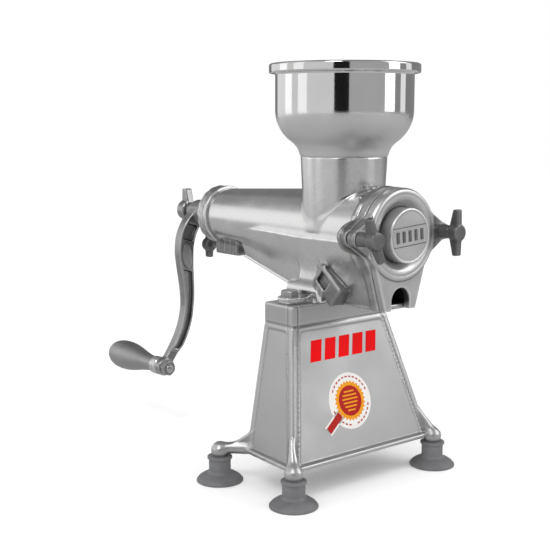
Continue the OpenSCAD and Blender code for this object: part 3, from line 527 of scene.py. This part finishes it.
outer = bowl_wall(0)
inner = [p for p in bowl_wall(4) if p[1] > SEAM + 3.5]
spigot = fillet([(39.1, SEAM - 13.5), (41.7, SEAM - 13.5, 0.6), (41.7, SEAM + 0.02, 0.2),
                 (neck - 0.3, SEAM + 0.02, 0.4), (neck, SEAM + 0.6)])
rolled = fillet([outer[-1], (bowl, top - 10, 2.2), (rim_r - 0.6, top - 10, 1.6), (rim_r, top - 8.2, 0.8),
                 (rim_r, top, 2.4), (bowl - 4, top, 2.0), (bowl - 4, top - 6)], 7)[1:]
profile = [(39.1, SEAM - 13.5)] + spigot + outer + rolled + inner[::-1] + [(39.1, SEAM + 3), (39.1, SEAM - 13.5)]
V, Q = lathe(profile, 2, (0, 0, 0), 192)
add_mesh("bowl_turned", V, Q[:, ::-1], M["bowl"], "hopper", "hopper", 50)


def turned(name, profile, along, centre, mat, body, node, turns=96, sharp=40):
    """A piece turned about one axis and put straight on its body."""
    V, Q = lathe(profile, along, centre, turns)
    if along == 2:
        Q = Q[:, ::-1]
    return add_mesh(name, V, Q, M[mat], body, node, sharp)


def collar(X, Y, Z):
    R = np.hypot(X, Z)
    a = np.arctan2(X, Z)
    dents = 0.32 * np.sin(9 * a + 0.6 * Y) * np.sin(0.9 * Y + 3 * a) + 0.22 * np.sin(17 * a - 0.5 * Y + 1)
    d = rod(R + np.clip(dents, -0.5, 0.5) + 0.3, Y, BARREL_B, Y_COLLAR, 34.7, 2.6)
    d = smin(d, rod(R, Y, BARREL_B, BARREL_B + 6, 34.6, 1.2), 0.8)
    d = smax(d, -(np.hypot(R - 35.2, Y - BARREL_B - 6.6) - 1.1), 0.6)
    d = np.minimum(d, rod(R, Y, BARREL_B - 8, BARREL_B + 2, 27))
    return smax(d, 13.05 - R, 0.3)


V, Q = skin(collar, (-35, 194, -35), (35, 220, 35), 1.0)
add_mesh("collar_cast", V, Q, M["as_cast"], "machine", "rear_collar")

# The grip swells to its full radius at seven tenths of its length, then rounds off to the bolt's counterbore.
grip_y0, grip_l, neck_r, grip_r = local("grip")[0][1], 94.5, 9.4, 18.3
gp = []
for t in np.linspace(0, 1, 60):
    swell = math.sin(min(1, t / 0.7) * math.pi / 2) ** 2
    off = math.sqrt(1 - 0.68 * ((t - 0.7) / 0.3) ** 2.4) if t > 0.7 else 1
    gp.append(((neck_r + (grip_r - neck_r) * swell) * off, grip_y0 + t * grip_l))
tail = fillet([gp[-3], gp[-1] + (1.2,), (8.6, gp[-1][1], 0.6), (8.6, gp[-1][1] - 7)], 4)[1:]
gp = fillet([(5.2, grip_y0), (neck_r, grip_y0, 0.8), gp[2]], 4) + gp[3:-2] + tail + [(5.2, gp[-1][1] - 7)]
turned("grip_handle", gp, 1, GRIP, "grip", "grip", "grip", 96, 50)

fy = Y_ARM_BACK
ferrule = fillet([(5.1, fy), (9.8, fy, 0.6), (11, fy + 1.6, 1), (11, fy + 5, 0.3), (10.5, fy + 5.6, 0.2),
                  (11, fy + 6.2, 0.3), (11, fy + 12, 1), (9.9, fy + 14, 0.6), (5.1, fy + 14)], 4)
turned("ferrule_ring", ferrule, 1, GRIP, "as_cast", "rotor", "grip_ferrule")

# feet: rubber sockets with a rolled lip on a shallow suction cup
cup = fillet([(0.01, 4.5), (7, 4.3, 3), (20, 0.9, 2), (22.2, 0.02, 1), (25.1, 0.02, 0.9), (25.1, 1.9, 0.8),
              (22.6, 4.8, 3), (18.4, 7.6, 5), (13.2, 9.4, 3), (11.8, 12, 2), (11.8, 23.6, 1), (13.4, 25.2, 0.8),
              (13.4, 27.4, 0.8), (12.2, 28, 0.6), (7.95, 28, 0.4), (7.95, 10, 0.4), (0.01, 10)], 5)
for side in ("front_left", "front_right", "rear_left", "rear_right"):
    lo, hi = local("foot_" + side)
    c = (lo + hi) / 2
    turned("cup_" + side, [(r, FLOOR + z) for r, z in cup], 2, (c[0], c[1], 0), "rubber", "machine",
           "foot_" + side, 80, 60)

# ---------------------------------------------------------------- crank

cr, sr = math.cos(CRANK_REST), math.sin(CRANK_REST)


def arm(X, Y, Z):
    U = X * cr - Z * sr
    W = X * sr + Z * cr
    t = np.clip(-W / CRANK_R, 0, 1)
    centre = -14 * np.sin(2 * np.pi * t ** 0.8)
    lean = -14 * np.cos(2 * np.pi * t ** 0.8) * 2 * np.pi * 0.8 * np.maximum(t, 0.02) ** -0.2 / CRANK_R
    half = np.where(t < 0.3, 10.8, np.maximum(10.8 - 4.2 * np.clip((t - 0.3) / 0.3, 0, 1), 6.6))
    side = (abs(U - centre) - half) / np.sqrt(1 + lean ** 2)
    thin = np.clip((t - 0.84) / 0.06, 0, 1)
    front = Y_ARM + 4 * thin
    d = smax(side, smax(front - Y, Y - Y_ARM_BACK, 0.5), 2.6)
    d = np.maximum(d, np.maximum(W, -W - CRANK_R))
    R = np.hypot(U, W)
    E = np.hypot(U, W + CRANK_R)
    d = smin(d, rod(R, Y, 223, Y_ARM_BACK, 14.5, 2.2), 5)
    d = smin(d, rod(R, Y, 223.5, 229, 14.9, 1.5), 1)
    d = smin(d, rod(E, Y, Y_ARM_END, Y_ARM_BACK, 10.6, 1.6), 3)
    # hollows in the front face, above and below an oval pad
    wall = side + 2.8
    low = np.maximum(np.maximum(-W - 0.87 * CRANK_R, W + 0.38 * CRANK_R), Y - Y_ARM - 5)
    high = np.maximum(np.maximum(-W - 0.2 * CRANK_R, W + 0.095 * CRANK_R), Y - Y_ARM - 5)
    d = smax(d, -smax(wall, low, 2.5), 1.4)
    d = smax(d, -smax(wall, high, 2.5), 1.4)
    pad = np.sqrt(((U - centre) / 7.2) ** 2 + ((W + 58) / 15) ** 2) * 7.2 - 7.2
    d = smin(d, smax(pad, abs(Y - Y_ARM) - 1.1, 0.8), 1.2)
    d = np.maximum(d, -box(U, Y, W, (-5.55, 220, -5.55), (5.55, 270, 5.55)))
    return np.maximum(d, 5.05 - E)


V, Q = skin(arm, (-80, 223, -203), (16, 267, 16), 1.0)
add_mesh("arm_cast", V, Q, M["crank"], "rotor", "crank_arm")


def wing_nut(U, V, H, length, cap, reach, bore):
    """U along the wings, V across them, H from the seat outwards."""
    R = np.hypot(U, V)
    d = cone(R, H, 0, 0.46 * length, 0.92 * cap, 0.74 * cap, 0.8)
    d = smin(d, rod(R, H, 0.5 * length, 0.99 * length, cap, 0.11 * length), 1.5)
    a = np.clip(abs(U) / reach, 0, 1)
    lo = length * (0.38 + 0.25 * a)
    hi = length * (0.97 - 0.03 * a)
    wing = smax(smax(lo - H, H - hi, 0.5), smax(abs(V) - 0.4 * cap, abs(U) - reach, 0.6), 2.4)
    d = smin(d, wing, 1.6)
    d = smin(d, np.hypot(R - cap + 1, H - 0.985 * length + 0.8) - 0.7, 0.6)
    return np.maximum(d, -np.maximum(R - bore, H - 0.84 * length))


NUT_LENGTH, NUT_GROWTH = 24.5, 1.14      # the crank's nut is that much longer than the cover's nuts
for side, sx, lean in (("left", -STUD_X, math.radians(22)), ("right", STUD_X, 0.0)):
    seat = local("wing_nut_" + side)[1][1]
    c, s = math.cos(lean), math.sin(lean)
    wide = 9 + 22 * s
    V, Q = skin(lambda X, Y, Z: wing_nut(Z * c - (X - sx) * s, (X - sx) * c + Z * s, seat - Y,
                                         NUT_LENGTH, 8.6, 23.7, 4.05),
                (sx - wide, seat - NUT_LENGTH, -24), (sx + wide, seat, 24), 0.7)
    add_mesh("wings_" + side, V, Q, M["dark_casting"], side + "_nut", "wing_nut_" + side)
seat = local("crank_wing_nut")[0][1]
V, Q = skin(lambda X, Y, Z: wing_nut(Z, X, Y - seat, NUT_LENGTH * NUT_GROWTH, 12.47, 27.0, 5.05),
            (-13, seat, -27.5), (13, seat + 28, 27.5), 0.8)
add_mesh("wings_crank", V, Q, M["crank"], "crank_nut", "crank_wing_nut")


def hexagon(U, V, flats):
    """Distance to a six-sided outline, given its width across flats."""
    return np.maximum(abs(U), np.maximum(abs(0.5 * U + 0.866 * V), abs(0.5 * U - 0.866 * V))) - flats / 2


lo, hi = local("spindle_nut")
gx, gz = GRIP[0], GRIP[2]


def nut(X, Y, Z):
    U, W = (X - gx) * cr - (Z - gz) * sr, (X - gx) * sr + (Z - gz) * cr
    R = np.hypot(U, W)
    d = smax(hexagon(W, U, 17), abs(Y - (lo[1] + hi[1]) / 2) - 4, 0.3)
    d = smax(d, (R - 9.4 + abs(Y - (lo[1] + hi[1]) / 2) - 3) * 0.7, 0.2)
    return np.maximum(d, 5.05 - R)


V, Q = skin(nut, lo, hi, 0.5)
add_mesh("nut_hex", V, Q, M["zinc"], "rotor", "spindle_nut")
sy0, sy1 = local("grip_spindle")[0][1], local("grip_spindle")[1][1]
spindle = fillet([(0.01, sy0), (3.6, sy0 + 0.2, 1.5), (5, sy0 + 1.6, 1), (5, sy1 - 5), (8.2, sy1 - 5, 0.3),
                  (8.2, sy1 - 1.4, 1.2), (4, sy1, 1.5), (0.01, sy1)], 4)
turned("spindle_turned", spindle, 1, GRIP, "steel", "rotor", "grip_spindle", 64)

# ---------------------------------------------------------------- regulator, bolts and studs

lo, hi = local("regulator_knob")
kz = (lo[2] + hi[2]) / 2


def knob(X, Y, Z):
    W = Z - kz
    d = rod(np.hypot(X, W), Y, lo[1], hi[1], 8, 1.8)
    d = smin(d, box(X, Y, W, (-3.4, lo[1] + 1.5, -16), (3.4, hi[1] - 1, 16), 2), 2)
    return np.maximum(d, -np.maximum(np.hypot(X, W) - 3.05, Y - hi[1] + 1.5))


V, Q = skin(knob, lo, hi, 0.7)
add_mesh("knob_cast", V, Q, M["dark_casting"], "regulator", "regulator_knob")

lo, hi = local("pedestal_bolts")
bx, by = hi[0] - 17 / math.sqrt(3), (lo[1] + hi[1]) / 2


def bolts(X, Y, Z):
    U, W = abs(X) - bx, Y - by
    R = np.hypot(U, W)
    d = smax(hexagon(W, U, 17), abs(Z - hi[2] + 3.25) - 3.25, 0.3)
    d = smax(d, (R - 9.2 + Z - hi[2] + 1.4) * 0.75, 0.3)
    return np.minimum(d, rod(R, Z, lo[2], hi[2] - 3, 5, 0.8))


V, Q = skin(bolts, lo, hi, 0.75)
add_mesh("bolts_hex", V, Q, M["zinc"], "machine", "pedestal_bolts")

# ---------------------------------------------------------------- pedestal

PED = 194.5                     # heights from here on are above the floor
Y_BACK = 47.8


def ped_half(H):
    """Half the pedestal's width at a height: two slopes and an upright block on top."""
    upper = np.maximum(91.68 + (69.3 - 91.68) * (H - 75) / 98.5, 69.3)
    return np.where(H < 75, 101.5 + (91.68 - 101.5) * (H - 33) / 42, upper)


def ped_front(H):
    """Where the pedestal's front face stands at a height."""
    return np.where(H < 75, -37.2 + 11.72 * (H - 33) / 42, np.minimum(-25.48 + 27.48 * (H - 75) / 98.5, 2.0))


def limb(X, Y, H, a, b, ra, rb):
    """A tapered round limb between two points."""
    a, b = np.array(a, float), np.array(b, float)
    w = b - a
    x, y, h = X - a[0], Y - a[1], H - a[2]
    t = np.clip((x * w[0] + y * w[1] + h * w[2]) / (w @ w), 0, 1)
    return np.sqrt((x - t * w[0]) ** 2 + (y - t * w[1]) ** 2 + (h - t * w[2]) ** 2) - ra - (rb - ra) * t


fl, fh = local("foot_front_right")
FX, FY = (fl[0] + fh[0]) / 2, (fl[1] + fh[1]) / 2
fl, fh = local("foot_rear_right")
RX, RY = (fl[0] + fh[0]) / 2, (fl[1] + fh[1]) / 2


def pedestal(X, Y, Z):
    H = Z - FLOOR
    A = abs(X)
    half, front = ped_half(H), ped_front(H)
    depth = Y_BACK - front
    taper = np.where(H < 75, 7 - 2.1 * (H - 33) / 42, np.maximum(4.9 * (173.5 - H) / 98.5, 0))
    side = (A - half + taper * (Y - front) / depth) * 0.97
    face = (front - Y) * np.where(H < 173.5, 0.962, 1)
    back = Y - Y_BACK
    d = smax(smax(side, face, 3.2), back, 2)
    # panels sunk between corner beads, on the front and on each side
    low, high = 38.5, 167.5
    panel = smax(smax(A - half + 10.5, abs(H - (low + high) / 2) - (high - low) / 2, 4), -face - 0.9, 0.8)
    edge = smax(smax(front + 9.5 - Y, Y - Y_BACK + 7, 3), abs(H - (low + high) / 2) - (high - low) / 2, 3)
    panel2 = smax(edge, -side - 0.9, 0.8)
    d = smax(d, -panel, 1.1)
    d = smax(d, -panel2, 1.1)
    # round corner bead with a groove each side, and a band groove below the top block
    corner = np.hypot(A - half + 3.4, Y - front - 3.0) - 3.3
    groove = np.minimum(np.hypot(A - half + 8.2, (Y - front) * 0.96 - 0.1) - 0.9,
                        np.hypot((A - half) * 0.97, Y - front - 7.6) - 0.9)
    groove = np.maximum(groove, 40 - H)
    d = smax(d, -groove, 0.8)
    d = smin(d, np.maximum(corner, H - 172), 0.8)
    shell = smax(d, H - PED, 2.2)
    notch = np.hypot(np.minimum(smax(side, face, 3), 3), H - 173) - 1.0
    shell = smax(shell, -np.maximum(notch, -5 - np.maximum(side, face)), 0.9)
    # rim around the bottom edge, thicker at the corners
    rim_face = smax(smax(A - 103.7 + 7 * np.clip((Y + 38) / 85, 0, 1), -39.6 - Y, 3), back, 1)
    rim = smax(rim_face, abs(H - 35.4) - 2.4, 1.8)
    shell = smin(shell, rim, 3)
    inside = smax(smax(side + 5, face + 5, 3), smax(back + 5, H - PED + 6, 3), 2)
    shell = smax(shell, -np.maximum(inside, 30 - H), 0.8)
    shell = np.maximum(shell, 33 - H)
    # front legs fade up the corner, rear brackets splay out to their legs
    d = shell
    for x, y, end, r_start, r_end, blend in ((FX, FY, (94, -27, 62), 7.8, 2.0, 4), (RX, RY, (86, 41, 37.5), 6, 6.5, 3)):
        leg = np.maximum(np.hypot(A - x, Y - y) - 7.8, np.maximum(10.2 - H, H - 36))
        d = smin(d, leg, 1)
        d = smin(d, np.sqrt((A - x) ** 2 + (Y - y) ** 2 + (H - 34) ** 2) - 9, 3)
        start = (x, y, 34 if y < 0 else 36.5)
        d = smin(d, limb(A, Y, H, start, end, r_start, r_end), blend)
    span_x, span_y = RX - 86, RY - 41
    reach = math.hypot(span_x, span_y)
    web = np.abs((A - 86) * span_y - (Y - 41) * span_x) / reach - 2.2
    along = ((A - 86) * span_x + (Y - 41) * span_y) / reach
    web = smax(web, np.maximum(np.maximum(-along, along - 34), np.maximum(33 - H, (H - 59) + along * 0.66)), 1)
    d = smin(d, web, 3)
    hole = np.maximum(np.hypot(A - BOLT_X, Y - BOLT_Y) - 5.3, abs(H - 190) - 9)
    return np.maximum(np.maximum(d, -hole), H - PED)


V, Q = skin(pedestal, (-122, -50, FLOOR + 10), (122, 79, FLOOR + PED), 1.3)
add_mesh("pedestal_cast", V, Q, M["pedestal"], "machine", "pedestal")

# ---------------------------------------------------------------- printed labels and raised marks

LEAN = math.radians(15.59)


def on_face(x, h, u, v, out):
    """A point on the sloping front face: u to the right, v up the face, out of it."""
    y = -25.48 + 27.48 * (h - 75.1) / 98.5
    return (x + u, y + v * math.sin(LEAN) - out * math.cos(LEAN),
            FLOOR + h + v * math.cos(LEAN) + out * math.sin(LEAN))


def plate(name, outlines, place, thick, mat, body, node=None):
    """Flat labels: each outline becomes a thin slab with a softened edge, put in place by a function."""
    verts, faces = [], []
    for line in outlines:
        n, base = len(line), len(verts)
        c = np.mean(line, axis=0)
        small = [tuple(c + (np.array(p) - c) * 0.985) for p in line]
        for pts, h in ((line, 0), (line, thick * 0.7), (small, thick)):
            verts += [place(p[0], p[1], h) for p in pts]
        for k in (0, 1):
            a, b = base + k * n, base + (k + 1) * n
            faces += [(a + i, a + (i + 1) % n, b + (i + 1) % n, b + i) for i in range(n)]
        faces += [tuple(base + 2 * n + i for i in range(n)), tuple(base + n - 1 - i for i in range(n))]
    return add_mesh(name, verts, faces, M[mat], body, node, 30)


def disc(r, n=96, teeth=0, depth=0):
    """A round outline, with a wavy edge where teeth are asked for."""
    out = []
    for a in np.linspace(0, 2 * math.pi, n, endpoint=False):
        edge = r + depth * (0.5 + 0.5 * math.cos(teeth * a))
        out.append((edge * math.cos(a), edge * math.sin(a)))
    return out


def turned_box(w, h, angle, x, y):
    """A rectangle of w by h about (x, y), turned by an angle."""
    c, s = math.cos(angle), math.sin(angle)
    corners = ((-w / 2, -h / 2), (w / 2, -h / 2), (w / 2, h / 2), (-w / 2, h / 2))
    return [(x + u * c - v * s, y + u * s + v * c) for u, v in corners]


SINK = 0.92                      # the panel that the labels lie on is sunk by this much
bars = [[(i * 20 - 10.5, -11.25), (i * 20 + 4.5, -11.25), (i * 20 + 10.5, 11.25), (i * 20 - 4.5, 11.25)]
        for i in range(-2, 3)]
red = plate("red_bars", bars, lambda u, v, o: on_face(-2, PED - 48.5, u, v, o - SINK), 0.5, "red_print", "machine",
            "front_decal")
red.visible_glossy = False        # no red rim in the metal above


def medal(u, v, o):
    """A point on the round sticker."""
    return on_face(-7, PED - 105, u, v, o - SINK)


ra = math.radians(36)            # the way the sticker's ribbon points
ribbon = [(-30 * math.cos(ra) - 17 * math.cos(ra) * k - w * math.sin(ra),
           -30 * math.sin(ra) - 17 * math.sin(ra) * k + w * math.cos(ra))
          for k, w in ((1, -6), (-1, -6), (-1, 6), (1, 6), (0.75, 0))]
plate("sticker_disc", [disc(30), ribbon], medal, 0.3, "white_print", "machine", "round_sticker")
plate("sticker_gold", [disc(19.5, 192, teeth=28, depth=2.2)], medal, 0.42, "gold_print", "machine")
tab = turned_box(24, 8, ra, -33 * math.cos(ra), -33 * math.sin(ra))
plate("sticker_red", [disc(16.2), tab], medal, 0.54, "maroon_print", "machine")
around = np.concatenate([np.arange(22, 160, 11.5), np.arange(200, 262, 11.5), np.arange(285, 345, 11.5)])
spokes = [turned_box(3.2, 1.5, a + math.pi / 2, 25.8 * math.cos(a), 25.8 * math.sin(a)) for a in np.radians(around)]
plate("sticker_ticks", spokes, medal, 0.42, "maroon_print", "machine")
lines = [turned_box(w, 1.7, 0, 0, y) for w, y in ((14, 10), (20, 6), (22, 2), (20, -2), (17, -6), (11, -10))]
plate("sticker_lines", lines, medal, 0.66, "gold_print", "machine")


def on_boss(u, v, out):
    """A point on the cover's round boss, whose marks are turned a little."""
    a = math.radians(4)
    return (u * math.cos(a) - v * math.sin(a), Y_BOSS + 0.1 - out, u * math.sin(a) + v * math.cos(a))


marks = [turned_box(46, 0.9, 0, 0, 9.5), turned_box(46, 0.9, 0, 0, -9.5)]
marks += [turned_box(3.4, 11.5, 0, x, 0) for x in (-17, -8.5, 0, 8.5, 17)]
plate("boss_marks", marks, on_boss, 0.75, "boss_marks", "cover")

# ---------------------------------------------------------------- finishes of the carried-over pieces

for node in frame["nodes"].values():
    slots = [p["material_slot"] for p in frame["record"]["subparts"] if p["node"] == node.name]
    node.data.materials.clear()
    node.data.materials.append(M.get(slots[0] if slots else "steel", M["steel"]))

# ---------------------------------------------------------------- floor, lights, camera


def plain(name, colour, strength=None):
    """A matt colour, or an even glow where a strength is given."""
    m = bpy.data.materials.new(name)
    m.use_nodes = True
    b = m.node_tree.nodes["Principled BSDF"]
    b.inputs["Base Color"].default_value = (*colour, 1)
    b.inputs["Roughness"].default_value = 0.7
    b.inputs["Specular IOR Level"].default_value = 0.2
    if strength is not None:
        b.inputs["Base Color"].default_value = (0, 0, 0, 1)
        b.inputs["Emission Color"].default_value = (*colour, 1)
        b.inputs["Emission Strength"].default_value = strength
    return m


def stage_mesh(name, verts, faces, mat):
    """A piece of the studio, given in metres, that isn't part of the object."""
    me = bpy.data.meshes.new(name)
    me.from_pydata(verts, [], faces)
    ob = bpy.data.objects.new(name, me)
    bpy.context.scene.collection.objects.link(ob)
    me.materials.append(mat)
    return ob


ring = [(6 * math.cos(a), 6 * math.sin(a), 0) for a in np.linspace(0, 2 * math.pi, 64, endpoint=False)]
floor = stage_mesh("floor", ring, [tuple(range(64))], plain("floor_white", (0.95, 0.95, 0.95)))
glow = floor.data.materials[0].node_tree.nodes["Principled BSDF"]
glow.inputs["Emission Color"].default_value = (1, 1, 1, 1)
glow.inputs["Emission Strength"].default_value = 0.07

EYE = Vector((-0.7627, -0.94275, 0.3883))
YAW, PITCH, FOCAL = math.radians(39.5), math.radians(8.66), 1051.44
cam = bpy.data.objects.new("camera", bpy.data.cameras.new("camera"))
bpy.context.scene.collection.objects.link(cam)
cam.location = EYE
look = Vector((math.sin(YAW) * math.cos(PITCH), math.cos(YAW) * math.cos(PITCH), -math.sin(PITCH)))
cam.rotation_mode = "QUATERNION"
cam.rotation_quaternion = look.to_track_quat("-Z", "Y")
cam.data.sensor_width = 36
cam.data.lens = 36 * FOCAL / 555
cam.data.clip_start, cam.data.clip_end = 0.05, 50
bpy.context.scene.camera = cam

CENTRE = Vector((0, -0.1, 0.25))


def glossy_only(ob):
    """Hides a piece of the studio from everything but reflections."""
    ob.visible_camera = ob.visible_diffuse = ob.visible_shadow = ob.visible_transmission = False


def screen(name, az0, az1, h0, h1, radius, level):
    """A curved screen seen only in reflections: azimuths count clockwise from straight behind the camera."""
    verts, faces = [], []
    steps = max(2, int(abs(az1 - az0) / 4))
    for i in range(steps + 1):
        a = YAW + math.pi + math.radians(az0 + (az1 - az0) * i / steps)
        x, y = CENTRE.x + radius * math.sin(a), CENTRE.y + radius * math.cos(a)
        verts += [(x, y, h0), (x, y, h1)]
    faces = [(2 * i, 2 * i + 1, 2 * i + 3, 2 * i + 2) for i in range(steps)]
    glossy_only(stage_mesh(name, verts, faces, plain(name + "_light", (level,) * 3, 1.0)))


screen("screen_grey_right", -64, 2, -0.5, 3.2, 2.6, 0.46)
screen("screen_grey_left", 2, 66, -0.5, 3.2, 2.6, 0.76)
screen("screen_dark", -4, 19.5, -0.2, 3.0, 2.4, 0.004)
screen("screen_left", 66, 84, 0.1, 3.0, 2.5, 1.2)
screen("screen_left_gap", 84, 98, -0.5, 3.0, 2.5, 0.75)
screen("screen_left_far", 98, 116, 0.1, 1.3, 2.5, 1.35)
screen("screen_left_upper", 98, 116, 1.3, 3.4, 2.5, 0.75)
screen("screen_left_fade", 116, 124, -0.5, 1.3, 2.5, 0.9)
screen("screen_left_fade_upper", 116, 124, 1.3, 3.4, 2.5, 0.5)
screen("screen_left_edge", 124, 148, -0.5, 1.0, 2.5, 0.9)
screen("screen_left_high", 124, 148, 1.0, 3.4, 2.5, 0.36)
screen("screen_left_back", 148, 180, -0.5, 3.4, 2.5, 0.22)
screen("screen_right", -84, -64, 0.22, 3.0, 2.5, 2.0)
screen("screen_right_gap", -98, -84, 0.22, 3.0, 2.5, 0.3)
screen("screen_right_far", -112, -98, 0.22, 3.0, 2.5, 1.0)
screen("screen_right_low", -130, -64, -0.5, 0.22, 2.5, 0.4)
screen("screen_right_back", -180, -112, 0.22, 3.4, 2.5, 0.26)
screen("screen_right_end", -180, -130, -0.5, 0.22, 2.5, 0.26)

# the floor as the metal sees it, darker than it looks
shade = [(2.4 * math.cos(a), 2.4 * math.sin(a), 0.0004) for a in np.linspace(0, 2 * math.pi, 48, endpoint=False)]
glossy_only(stage_mesh("screen_floor", shade, [tuple(range(48))],
                       plain("screen_floor_light", (0.54, 0.54, 0.54), 1.0)))
glossy_only(stage_mesh("screen_roof", [(x * 1.1, y * 1.1, 3.4) for x, y, z in shade], [tuple(range(48))],
                       plain("screen_roof_light", (0.28, 0.28, 0.28), 1.0)))


def area(name, place, target, size, power):
    """A round soft light that the camera doesn't see."""
    lamp = bpy.data.lights.new(name, "AREA")
    lamp.shape = "DISK"
    lamp.size = size
    lamp.energy = power
    ob = bpy.data.objects.new(name, lamp)
    bpy.context.scene.collection.objects.link(ob)
    ob.location = place
    ob.rotation_mode = "QUATERNION"
    ob.rotation_quaternion = (Vector(target) - Vector(place)).to_track_quat("-Z", "Y")
    ob.visible_camera = False


area("key", (-1.5, -0.9, 2.2), (0, -0.05, 0.25), 0.9, 16)
area("fill", (1.5, -1.4, 1.4), (0, -0.05, 0.25), 1.2, 8)

world = bpy.data.worlds.new("studio")
bpy.context.scene.world = world
world.use_nodes = True
world.node_tree.nodes["Background"].inputs["Color"].default_value = (1, 1, 1, 1)
world.node_tree.nodes["Background"].inputs["Strength"].default_value = 1.0
bpy.context.scene.view_settings.view_transform = "Standard"
